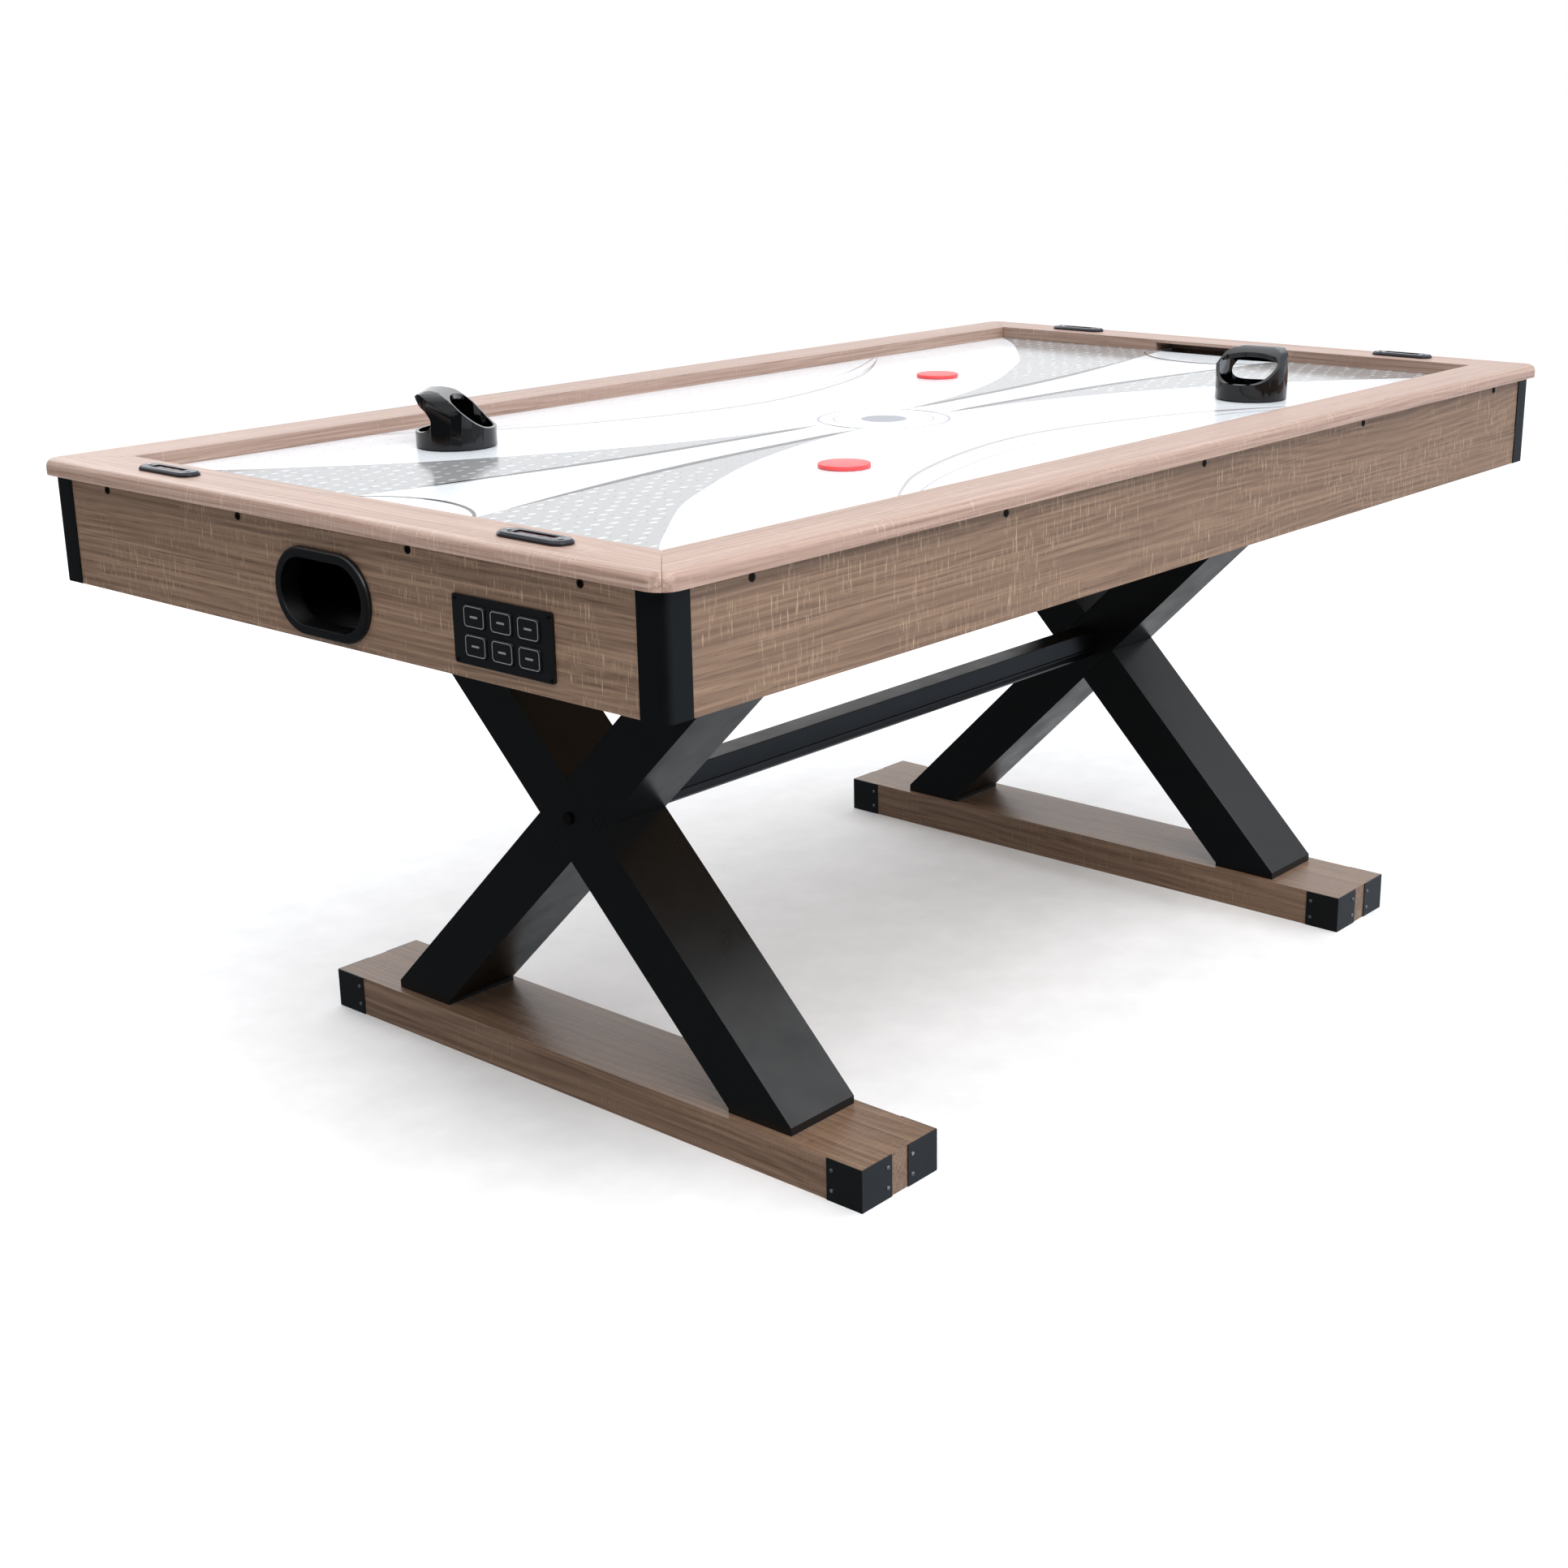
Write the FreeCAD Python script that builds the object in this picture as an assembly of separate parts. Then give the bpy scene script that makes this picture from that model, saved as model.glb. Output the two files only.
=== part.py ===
"""Air hockey table, six foot size: wood-grain cabinet on two crossed-beam leg frames.

Millimetres, +X along the table towards the far player, +Y across, +Z up,
origin on the floor under the middle of the table.
"""
import FreeCAD, Part
import math
import os

Vec = FreeCAD.Vector

# Overall size
TABLE_LENGTH = 1830.0
TABLE_WIDTH = 1010.0
TABLE_HEIGHT = 775.0

# Rail frame around the playfield
RAIL_WIDTH = 77.0
RAIL_THICK = 18.0
RAIL_NOSE = 9.0
RAIL_PLAN_RADIUS = 24.0
MITRE_GAP = 0.3
SLOT_WIDTH = 238.0
SLOT_HEIGHT = 13.0

# Cabinet
OVERHANG = 13.0
APRON_THICK = 15.0
APRON_HEIGHT = 125.0
POST_LEG = 35.0
POST_PROUD = 1.5
POST_RADIUS = 9.0
BOARD_THICK = 12.0
PLENUM_DEPTH = 29.0
PLENUM_FLOOR_THICK = 6.0
BATTEN_WIDTH = 18.0
CENTRE_BATTEN_Y = 150.0
AIR_INLET_RADIUS = 58.0

# Screws through the aprons into the board's edge
APRON_SCREW_Z = 749.0
APRON_SCREW_SHANK = 2.0
APRON_SCREW_REACH = 38.0
END_SCREW_Y = (-386.0, -140.0, 140.0, 386.0)
SIDE_SCREW_X = (-786.0, -393.0, 0.0, 393.0, 786.0)

# Blower that hangs under the middle of the air chamber
BLOWER_RADIUS = 82.0
BLOWER_WALL = 3.0
BLOWER_BOTTOM = 642.0
FLANGE_REACH = 12.0
FLANGE_HEIGHT = 4.0
INTAKE_RADIUS = 50.0
MOTOR_SEAT_RADIUS = 24.0
GUARD_RING_RADIUS = 38.0
SPOKE_COUNT = 4
SPOKE_WIDTH = 5.0
MOTOR_RADIUS = 23.0
MOTOR_HEIGHT = 30.0
MOTOR_BOSS_RADIUS = 8.0
IMPELLER_RADIUS = 64.0
IMPELLER_PLATE = 2.5
IMPELLER_EYE_RADIUS = 52.0
IMPELLER_HUB_RADIUS = 9.0
SHAFT_RADIUS = 3.0
BLADE_COUNT = 24
BLADE_THICK = 1.6
BLADE_TURN = 32.0

# Puck return
MOUTH_WIDTH = 155.0
MOUTH_HEIGHT = 94.0
MOUTH_Z = 684.0
RIM_WIDTH = 8.0
RIM_PROUD = 6.0
COLLAR_WALL = 3.0
POCKET_WALL = 2.5
POCKET_BACK = 790.0
POCKET_LOW_FRONT = 642.0
POCKET_LOW_BACK = 676.0

# Control panel on the near apron
PANEL_Y = -277.0
PANEL_Z = 681.5
PANEL_WIDTH = 142.0
PANEL_HEIGHT = 69.0
PANEL_THICK = 3.0
BUTTON_WIDTH = 31.0
BUTTON_HEIGHT = 23.0
BUTTON_PITCH_Y = 38.5
BUTTON_PITCH_Z = 29.0
BUTTON_PROUD = 1.5
BUTTON_GAP = 0.4
BUTTON_TRAVEL = 1.0
BUTTON_FLANGE = 1.6
BUTTON_FLANGE_THICK = 1.2
BUTTON_STEM_RADIUS = 2.5
PANEL_SCREW_INSET = 4.0
CIRCUIT_SETBACK = 10.0
CIRCUIT_THICK = 1.6
SWITCH_HEIGHT = 4.0

# Score displays on the end rails
SCORE_LENGTH = 96.0
SCORE_WIDTH = 28.0
SCORE_THICK = 5.0
SCORE_Y = 299.0
SCORE_WINDOW_LENGTH = 56.0
SCORE_WINDOW_WIDTH = 12.0
SCORE_CHAMFER = 2.4
SCORE_FACE_DROP = 1.2
SCORE_SCREW_INSET = 12.0
SCORE_POCKET_DEPTH = 11.0

# Crossed legs, feet and stretcher
LEG_X = 530.5
LEG_DEPTH = 109.0
BEAM_WIDTH = 72.0
TOE_CUT = 10.0
HEEL_RISE = 5.0
CROSS_Z = 354.0
LEG_TOP_Z = 650.0
FOOT_X = 532.5
FOOT_WIDTH = 129.0
FOOT_LENGTH = 913.0
FOOT_HEIGHT = 52.0
BRACKET_LEG = 52.0
BRACKET_THICK = 1.5
STRETCHER_WIDTH = 40.0
STRETCHER_TOP = 380.0
STRETCHER_HEIGHT = 41.0
MOUNT_BOARD_WIDTH = 120.0
MOUNT_BOARD_THICK = 18.0
BOLT_RADIUS = 4.0
BOLT_SPREAD = 30.0
BOLT_RECESS = 8.0
CROSS_BOLT_Z = 357.0
STRETCHER_BEAD_DROP = 26.0
STRETCHER_BEAD = 4.0

# Power socket in the far apron
INLET_Y = -300.0
INLET_RADIUS = 6.0

# Loose pieces
PUCK_RADIUS = 31.0
PUCK_THICK = 5.0
PUSHER_RADIUS = 49.3
PUSHER_HEIGHT = 71.0
FELT_THICK = 1.5
FLOAT_GAP = 0.3
PUSHER_WALL = 4.2
PUSHER_BACK_RIM = 18.8
DISH_FLOOR = 3.0
# The cap's front edge is an arc in plan, its underside a line of (forward, up) points
CAP_FRONT = 3.5
CAP_FRONT_RADIUS = 110.0
CAP_UNDERSIDE = ((-8.0, 46.0), (3.5, 54.5), (14.0, 61.0), (25.0, 63.0), (31.5, 61.5), (33.5, 57.0),
                 (29.5, 50.5), (25.0, 46.5))
# Finger scoop in each side wall: radius, depth, turn from the side, tilt and height
SCOOP_RADIUS = 27.0
SCOOP_DEPTH = 2.7
SCOOP_TURN = 15.3
SCOOP_TILT = 25.0
SCOOP_Z = 42.2
# Mouth rim from the low front over the crown to the tip, as (forward, up)
MOUTH_RIM = ((-49.3, 22.2), (-43.5, 22.9), (-34.0, 28.0), (-24.0, 36.6), (-12.0, 48.0), (0.0, 58.5),
             (11.0, 65.0), (22.0, 68.0), (31.0, 67.8), (38.5, 65.6), (44.0, 62.0))
# Undercut grip from the tip down to the back of the dish
GRIP_CURVE = ((44.0, 62.0), (40.5, 56.0), (36.0, 50.5), (30.0, 46.0), (25.5, 40.5), (22.5, 34.5),
              (22.8, 29.0), (26.5, 24.0), (33.0, 20.6), (41.0, 19.0))
# Half-width of the walls below the bridge's crown, as (inwards from the widest point, level)
SHOULDER_LOW = ((0.0, 34.0), (2.8, 45.0), (6.4, 54.0))
SHOULDER_HIGH = ((9.8, 8.5), (14.5, 5.4), (22.0, 2.6), (33.0, 0.7), (44.0, 0.0))
# Where the pushers (x, y, turn about Z) and pucks (x, y) rest
NEAR_PUSHER = (-488.8, 276.4, 130.0)
FAR_PUSHER = (455.0, -285.0, 7.0)
NEAR_PUCK = (-316.0, -202.0)
FAR_PUCK = (370.0, 202.0)

# Derived levels and planes
FIELD_Z = TABLE_HEIGHT - RAIL_THICK
APRON_BOTTOM = FIELD_Z - APRON_HEIGHT
BOARD_BOTTOM = FIELD_Z - BOARD_THICK
PLENUM_BOTTOM = BOARD_BOTTOM - PLENUM_DEPTH
BLOWER_TOP = PLENUM_BOTTOM - PLENUM_FLOOR_THICK
POCKET_SHELF = BLOWER_TOP - 0.5
END_FACE = TABLE_LENGTH / 2 - OVERHANG
SIDE_FACE = TABLE_WIDTH / 2 - OVERHANG
END_INSIDE = END_FACE - APRON_THICK
SIDE_INSIDE = SIDE_FACE - APRON_THICK
FIELD_X = TABLE_LENGTH / 2 - RAIL_WIDTH
FIELD_Y = TABLE_WIDTH / 2 - RAIL_WIDTH
SCORE_X = TABLE_LENGTH / 2 - RAIL_WIDTH / 2
CIRCUIT_X = CIRCUIT_SETBACK - END_FACE
HOLE_WIDTH = MOUTH_WIDTH - 2 * RIM_WIDTH
HOLE_HEIGHT = MOUTH_HEIGHT - 2 * RIM_WIDTH
CUT = 1.0
ENDS = {"near": -1, "far": 1}
SIDES = {"left": 1, "right": -1}

os.makedirs("parts", exist_ok=True)


def box(x0, x1, y0, y1, z0, z1):
    x0, x1 = sorted((x0, x1))
    y0, y1 = sorted((y0, y1))
    return Part.makeBox(x1 - x0, y1 - y0, z1 - z0, Vec(x0, y0, z0))


def rod(radius, start, direction, length):
    return Part.makeCylinder(radius, length, Vec(*start), Vec(*direction))


def prism(points, direction):
    wire = Part.makePolygon([Vec(*p) for p in points] + [Vec(*points[0])])
    return Part.Face(wire).extrude(Vec(*direction))


def fillet_where(shape, radius, test):
    edges = [e for e in shape.Edges if test(e)]
    return shape.makeFillet(radius, edges)


def runs_along(edge, axis):
    span = edge.BoundBox
    lengths = {"x": span.XLength, "y": span.YLength, "z": span.ZLength}
    main = lengths.pop(axis)
    return main > 1e-3 and max(lengths.values()) < 1e-3


def on_front(edge):
    """True for an edge that lies in the plane x = 0."""
    return abs(edge.BoundBox.XMin) < 1e-3 and abs(edge.BoundBox.XMax) < 1e-3


def rounded_plate(width, height, radius, thick):
    """Rounded rectangle in the YZ plane, extruded along +X from x = 0."""
    plate = box(0, thick, -width / 2, width / 2, -height / 2, height / 2)
    return fillet_where(plate, radius, lambda e: runs_along(e, "x"))


def stadium(length, width, height):
    """Slot-shaped block lying along Y, its base on z = 0."""
    radius = width / 2
    half = length / 2 - radius
    body = box(-radius, radius, -half, half, 0, height)
    for side in (-1, 1):
        body = body.fuse(rod(radius, (0, side * half, 0), (0, 0, 1), height))
    return body.removeSplitter()


def stadium_x(width, height, depth):
    """Slot-shaped block lying along Y and standing in the YZ plane, extruded along +X."""
    body = stadium(width, height, depth)
    body.rotate(Vec(0, 0, 0), Vec(0, 1, 0), 90)
    return body


def placed(shape, x=0.0, y=0.0, z=0.0, turn=0.0):
    result = shape.copy()
    if turn:
        result.rotate(Vec(0, 0, 0), Vec(0, 0, 1), turn)
    result.translate(Vec(x, y, z))
    return result


def at_end(shape, sign):
    """A piece drawn for the near end, turned half round for the far end."""
    return placed(shape, turn=180.0) if sign > 0 else shape.copy()


def inward(direction):
    return tuple(-part for part in direction)


def group(shapes):
    return Part.makeCompound(shapes)


def save(name, shape):
    shape.exportStep("parts/" + name + ".step")


# Rails -----------------------------------------------------------------

def rail_frame():
    half_x, half_y = TABLE_LENGTH / 2, TABLE_WIDTH / 2
    outer = box(-half_x, half_x, -half_y, half_y, FIELD_Z, TABLE_HEIGHT)
    outer = fillet_where(outer, RAIL_PLAN_RADIUS, lambda e: runs_along(e, "z"))

    outer = fillet_where(outer, RAIL_NOSE, lambda e: e.BoundBox.ZMin > TABLE_HEIGHT - 1e-3)
    inner = box(-FIELD_X, FIELD_X, -FIELD_Y, FIELD_Y, FIELD_Z - CUT, TABLE_HEIGHT + CUT)
    return outer.cut(inner)


def mitre_wedge(sign, along):
    """Outline that keeps one rail of the frame between its two 45 degree mitres."""
    gap = MITRE_GAP / 2 * math.sqrt(2)
    tip = TABLE_LENGTH / 2 - TABLE_WIDTH / 2
    reach = TABLE_WIDTH / 2 + RAIL_WIDTH
    if along == "y":
        start = sign * (tip + gap)
        outer = sign * (tip + gap + reach)
        points = [(start, 0), (outer, reach), (outer, -reach)]
    else:
        start = sign * gap
        outer = sign * (gap + reach)
        points = [(-tip, start), (tip, start), (tip + reach, outer), (-tip - reach, outer)]
    floor = FIELD_Z - CUT
    return prism([(x, y, floor) for x, y in points], (0, 0, RAIL_THICK + 2 * CUT))


def goal_notch(sign):
    half = SLOT_WIDTH / 2
    return box(sign * (FIELD_X - CUT), sign * END_INSIDE, -half, half, FIELD_Z - CUT, FIELD_Z + SLOT_HEIGHT)


def score_pocket(sign, side):
    """Recess in an end rail for the back of a score display."""
    pocket = stadium(SCORE_LENGTH - 16, SCORE_WIDTH - 8, SCORE_POCKET_DEPTH + CUT)
    return placed(pocket, sign * SCORE_X, side * SCORE_Y, TABLE_HEIGHT - SCORE_POCKET_DEPTH)


def make_rails():
    frame = rail_frame()
    for name, sign in ENDS.items():
        rail = frame.common(mitre_wedge(sign, "y")).cut(goal_notch(sign))
        for side in SIDES.values():
            rail = rail.cut(score_pocket(sign, side))
        save(name + "_end_rail", rail)
    for name, sign in SIDES.items():
        save(name + "_side_rail", frame.common(mitre_wedge(sign, "x")))


# Cabinet ---------------------------------------------------------------

def cabinet_block(grow=0.0):
    """Outline of the cabinet with its rounded corners, full apron height."""
    x, y = END_FACE + grow, SIDE_FACE + grow
    block = box(-x, x, -y, y, APRON_BOTTOM, FIELD_Z)
    return fillet_where(block, POST_RADIUS + grow, lambda e: runs_along(e, "z"))


def panel_window():
    """Opening behind the control plate, with a lip all round for the plate to rest on."""
    lip = 6.0
    window = rounded_plate(PANEL_WIDTH - 2 * lip, PANEL_HEIGHT - 2 * lip, 2.0, APRON_THICK + 2 * CUT)
    return placed(window, -END_FACE - CUT, PANEL_Y, PANEL_Z)


def mouth_cut():
    return placed(stadium_x(HOLE_WIDTH, HOLE_HEIGHT, APRON_THICK + 2 * CUT), -END_FACE - CUT, 0, MOUTH_Z)


def make_aprons():
    edge = SIDE_INSIDE - 0.1
    bores = group(apron_screw_bores())
    blank = box(-END_FACE, -END_INSIDE, -edge, edge, APRON_BOTTOM, FIELD_Z).cut(mouth_cut())
    save("near_end_apron", blank.cut(panel_window()).cut(bores))
    inlet = rod(INLET_RADIUS + 0.2, (END_INSIDE - CUT, INLET_Y, MOUTH_Z), (1, 0, 0), APRON_THICK + 2 * CUT)
    save("far_end_apron", at_end(blank, 1).cut(bores).cut(inlet))
    for name, sign in SIDES.items():
        apron = box(-END_FACE, END_FACE, sign * SIDE_INSIDE, sign * SIDE_FACE, APRON_BOTTOM, FIELD_Z)
        save(name + "_side_apron", apron.common(cabinet_block()).cut(bores))


def corner_post():
    """Black angle that wraps the near right corner of the cabinet."""
    x, y = -END_FACE - POST_PROUD, -SIDE_FACE - POST_PROUD
    corner = box(x, x + POST_LEG, y, y + POST_LEG, APRON_BOTTOM, FIELD_Z)
    return cabinet_block(POST_PROUD).common(corner).cut(cabinet_block())


def make_posts():
    post = corner_post()
    for end_name, end in ENDS.items():
        for side_name, side in SIDES.items():
            piece = post.copy()
            if end > 0:
                piece = piece.mirror(Vec(0, 0, 0), Vec(1, 0, 0))
            if side > 0:
                piece = piece.mirror(Vec(0, 0, 0), Vec(0, 1, 0))
            save(end_name + "_" + side_name + "_corner_post", piece)


def make_playfield():
    board = box(-END_INSIDE, END_INSIDE, -SIDE_INSIDE, SIDE_INSIDE, BOARD_BOTTOM, FIELD_Z)
    for sign in ENDS.values():
        drop = box(sign * FIELD_X, sign * (END_INSIDE + CUT), -SLOT_WIDTH / 2, SLOT_WIDTH / 2,
                   BOARD_BOTTOM - CUT, FIELD_Z + CUT)
        board = board.cut(drop)
    save("playfield_board", board.cut(group(apron_screw_bores())))


def make_plenum():
    """Hardboard floor of the air chamber, and the battens between it and the playfield board."""
    half_x = FIELD_X - 2
    half_y = SIDE_INSIDE
    floor = box(-half_x, half_x, -half_y, half_y, BLOWER_TOP, PLENUM_BOTTOM)
    save("plenum_floor", floor.cut(pipe(AIR_INLET_RADIUS, BLOWER_TOP - CUT, PLENUM_BOTTOM + CUT)))
    inner_x = half_x - BATTEN_WIDTH
    strips = []
    for sign in (-1, 1):
        strips.append(box(sign * inner_x, sign * half_x, -half_y, half_y, PLENUM_BOTTOM, BOARD_BOTTOM))
        for outer_y in (sign * half_y, sign * (CENTRE_BATTEN_Y + BATTEN_WIDTH / 2)):
            inner_y = outer_y - sign * BATTEN_WIDTH
            strips.append(box(-inner_x, inner_x, inner_y, outer_y, PLENUM_BOTTOM, BOARD_BOTTOM))
    save("plenum_battens", group(strips))


# Blower ----------------------------------------------------------------

def pipe(radius, low, high, bore=0.0):
    """Upright cylinder on the table's centre line, bored through if a bore radius is given."""
    shape = rod(radius, (0, 0, low), (0, 0, 1), high - low)
    if bore:
        shape = shape.cut(rod(bore, (0, 0, low - CUT), (0, 0, 1), high - low + 2 * CUT))
    return shape


def make_blower_housing():
    low = BLOWER_BOTTOM
    plate_top = low + BLOWER_WALL
    inner = BLOWER_RADIUS - BLOWER_WALL
    housing = pipe(BLOWER_RADIUS, low, BLOWER_TOP, inner)
    housing = housing.fuse(pipe(BLOWER_RADIUS + FLANGE_REACH, BLOWER_TOP - FLANGE_HEIGHT, BLOWER_TOP, inner))
    housing = housing.fuse(pipe(inner + CUT, low, plate_top, INTAKE_RADIUS))
    for k in range(SPOKE_COUNT):
        spoke = box(MOTOR_SEAT_RADIUS - 4, INTAKE_RADIUS + 2, -SPOKE_WIDTH / 2, SPOKE_WIDTH / 2,
                    low, plate_top)
        housing = housing.fuse(placed(spoke, turn=45.0 + 360.0 * k / SPOKE_COUNT))
    housing = housing.fuse(pipe(GUARD_RING_RADIUS, low, plate_top, GUARD_RING_RADIUS - 4))
    housing = housing.fuse(pipe(MOTOR_SEAT_RADIUS, low, plate_top))
    save("blower_housing", housing.removeSplitter())


def make_blower_motor_and_wheel():
    low = BLOWER_BOTTOM + BLOWER_WALL
    top = low + MOTOR_HEIGHT
    shaft_low = low + 10
    motor = pipe(MOTOR_RADIUS, low, top).fuse(pipe(MOTOR_BOSS_RADIUS, top, top + 4))
    motor = motor.cut(pipe(SHAFT_RADIUS + 0.3, shaft_low, top + 4 + CUT)).removeSplitter()
    save("blower_motor", motor)

    plate_low = top + 8
    rim_low = low + 6
    wheel = pipe(IMPELLER_RADIUS, plate_low, plate_low + IMPELLER_PLATE)
    wheel = wheel.fuse(pipe(IMPELLER_HUB_RADIUS, plate_low - 3, plate_low + 9))
    wheel = wheel.fuse(pipe(SHAFT_RADIUS, shaft_low + 1, plate_low + 1))
    wheel = wheel.fuse(pipe(IMPELLER_RADIUS, rim_low, rim_low + IMPELLER_PLATE, IMPELLER_EYE_RADIUS))
    middle = (IMPELLER_EYE_RADIUS + IMPELLER_RADIUS) / 2
    blade = box(IMPELLER_EYE_RADIUS, IMPELLER_RADIUS - 0.5, -BLADE_THICK / 2, BLADE_THICK / 2,
                rim_low, plate_low + 1)
    blade.rotate(Vec(middle, 0, 0), Vec(0, 0, 1), BLADE_TURN)
    for k in range(BLADE_COUNT):
        wheel = wheel.fuse(placed(blade, turn=360.0 * k / BLADE_COUNT))
    save("blower_impeller", wheel)


# Puck return -----------------------------------------------------------

def return_ring():
    """Oval collar through the near apron with a rounded rim in front."""
    depth = RIM_PROUD + APRON_THICK
    lip = fillet_where(stadium_x(MOUTH_WIDTH, MOUTH_HEIGHT, RIM_PROUD), RIM_PROUD * 0.6, on_front)
    collar = stadium_x(HOLE_WIDTH - 0.4, HOLE_HEIGHT - 0.4, depth)
    ring = lip.fuse(collar).cut(mouth_bore(depth)).removeSplitter()
    return placed(ring, -END_FACE - RIM_PROUD, 0, MOUTH_Z)


def mouth_bore(depth):
    bore = stadium_x(HOLE_WIDTH - 2 * COLLAR_WALL, HOLE_HEIGHT - 2 * COLLAR_WALL, depth + 2 * CUT)
    return placed(bore, -CUT)


def return_pocket():
    """Open-topped chute: a puck drops past the board's edge and slides down to the mouth."""
    w = POCKET_WALL
    half = SLOT_WIDTH / 2
    front = -END_INSIDE
    top = BOARD_BOTTOM
    back_top = -FIELD_X - 0.5
    outline = [(front, top), (back_top, top), (back_top, POCKET_SHELF), (-POCKET_BACK, POCKET_SHELF),
               (-POCKET_BACK, POCKET_LOW_BACK), (front, POCKET_LOW_FRONT - w)]
    shell = prism([(x, -half, z) for x, z in outline], (0, 2 * half, 0))
    cavity_line = [(front + w, top + CUT), (back_top - w, top + CUT), (back_top - w, POCKET_SHELF - w),
                   (-POCKET_BACK - w, POCKET_SHELF - w), (-POCKET_BACK - w, POCKET_LOW_BACK + w),
                   (front + w, POCKET_LOW_FRONT + w / 2)]
    cavity = prism([(x, -half + w, z) for x, z in cavity_line], (0, 2 * half - 2 * w, 0))
    return shell.cut(cavity).cut(placed(mouth_bore(2 * w), front, 0, MOUTH_Z))


def make_returns():
    for name, sign in ENDS.items():
        save(name + "_return_ring", at_end(return_ring(), sign))
        save(name + "_return_pocket", at_end(return_pocket(), sign))


# Control panel ---------------------------------------------------------

def button_centres():
    return [(PANEL_Y + BUTTON_PITCH_Y * (1 - column), PANEL_Z + BUTTON_PITCH_Z * (0.5 - row))
            for row in range(2) for column in range(3)]


def make_control_plate():
    """Plate with six button windows and four posts for the circuit board; returns its screws."""
    front = -END_FACE - PANEL_THICK
    plate = placed(rounded_plate(PANEL_WIDTH, PANEL_HEIGHT, 3.0, PANEL_THICK), front, PANEL_Y, PANEL_Z)
    window = rounded_plate(BUTTON_WIDTH + 2 * BUTTON_GAP, BUTTON_HEIGHT + 2 * BUTTON_GAP, 4.0,
                           PANEL_THICK + 2 * CUT)
    for y, z in button_centres():
        plate = plate.cut(placed(window, front - CUT, y, z))
    screws = []
    for side in (-1, 1):
        for level in (-1, 1):
            y = PANEL_Y + side * (PANEL_WIDTH / 2 - PANEL_SCREW_INSET)
            z = PANEL_Z + level * (PANEL_HEIGHT / 2 - PANEL_SCREW_INSET)
            post_y, post_z = y - side * 5, z - level * 5
            plate = plate.fuse(rod(2.2, (-END_FACE - 0.01, post_y, post_z), (1, 0, 0), CIRCUIT_SETBACK))
            shank = rod(1.2, (front, y, z), (1, 0, 0), PANEL_THICK)
            plate = plate.cut(shank)
            screws.append(rod(2.2, (front - 1.0, y, z), (1, 0, 0), 1.0).fuse(shank))
    save("control_plate", plate)
    return screws


def make_buttons():
    """Six capped buttons, each with a flange behind the plate and a stem towards its switch."""
    front = -END_FACE - PANEL_THICK - BUTTON_PROUD
    behind = -END_FACE + 0.3
    stem_end = CIRCUIT_X - SWITCH_HEIGHT - BUTTON_TRAVEL - 0.3
    cap = rounded_plate(BUTTON_WIDTH, BUTTON_HEIGHT, 3.6, behind - front + 0.2)
    cap = fillet_where(cap, 0.8, on_front)
    flange = rounded_plate(BUTTON_WIDTH + 2 * BUTTON_FLANGE, BUTTON_HEIGHT + 2 * BUTTON_FLANGE, 4.0,
                           BUTTON_FLANGE_THICK)
    stem = rod(BUTTON_STEM_RADIUS, (0, 0, 0), (1, 0, 0), stem_end - behind)
    button = placed(cap, front).fuse(placed(flange, behind)).fuse(placed(stem, behind)).removeSplitter()
    for index, (y, z) in enumerate(button_centres(), start=1):
        save("control_button_%d" % index, placed(button, 0, y, z))


def make_circuit_board():
    board = box(CIRCUIT_X, CIRCUIT_X + CIRCUIT_THICK, PANEL_Y - 60, PANEL_Y + 60, PANEL_Z - 27, PANEL_Z + 27)
    for y, z in button_centres():
        board = board.fuse(box(CIRCUIT_X - SWITCH_HEIGHT, CIRCUIT_X, y - 3, y + 3, z - 3, z + 3))
    save("control_circuit_board", board.removeSplitter())


# Score displays --------------------------------------------------------

def score_bezel():
    body = stadium(SCORE_LENGTH, SCORE_WIDTH, SCORE_THICK)
    top = [e for e in body.Edges if e.BoundBox.ZMin > SCORE_THICK - 1e-3]
    body = body.makeChamfer(SCORE_CHAMFER, top)
    half_x, half_y = SCORE_WINDOW_WIDTH / 2, SCORE_WINDOW_LENGTH / 2
    body = body.cut(box(-half_x, half_x, -half_y, half_y, -CUT, SCORE_THICK + CUT))
    for side in (-1, 1):
        start = (0, side * (SCORE_LENGTH / 2 - SCORE_SCREW_INSET), -CUT)
        body = body.cut(rod(1.3, start, (0, 0, 1), SCORE_THICK + 2 * CUT))
    return body


def score_display():
    """Red LED digit module, its face just below the bezel's top."""
    half_x = SCORE_WINDOW_WIDTH / 2 - 0.2
    half_y = SCORE_WINDOW_LENGTH / 2 - 0.2
    face = box(-half_x, half_x, -half_y, half_y, -4, SCORE_THICK - SCORE_FACE_DROP)
    board = box(-half_x - 3, half_x + 3, -half_y - 5, half_y + 5, -4 - CIRCUIT_THICK, -4)
    return face.fuse(board).removeSplitter()


def make_score_displays():
    screws = []
    for end_name, end in ENDS.items():
        for side_name, side in SIDES.items():
            label = end_name + "_" + side_name
            spot = {"x": end * SCORE_X, "y": side * SCORE_Y, "z": TABLE_HEIGHT}
            save(label + "_score_bezel", placed(score_bezel(), **spot))
            save(label + "_score_display", placed(score_display(), **spot))
            for tip in (-1, 1):
                y = spot["y"] + tip * (SCORE_LENGTH / 2 - SCORE_SCREW_INSET)
                head = rod(2.4, (spot["x"], y, TABLE_HEIGHT + SCORE_THICK), (0, 0, 1), 1.0)
                shank = rod(1.3, (spot["x"], y, TABLE_HEIGHT), (0, 0, 1), SCORE_THICK)
                screws.append(head.fuse(shank))
    return screws


# Leg frames ------------------------------------------------------------

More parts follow.
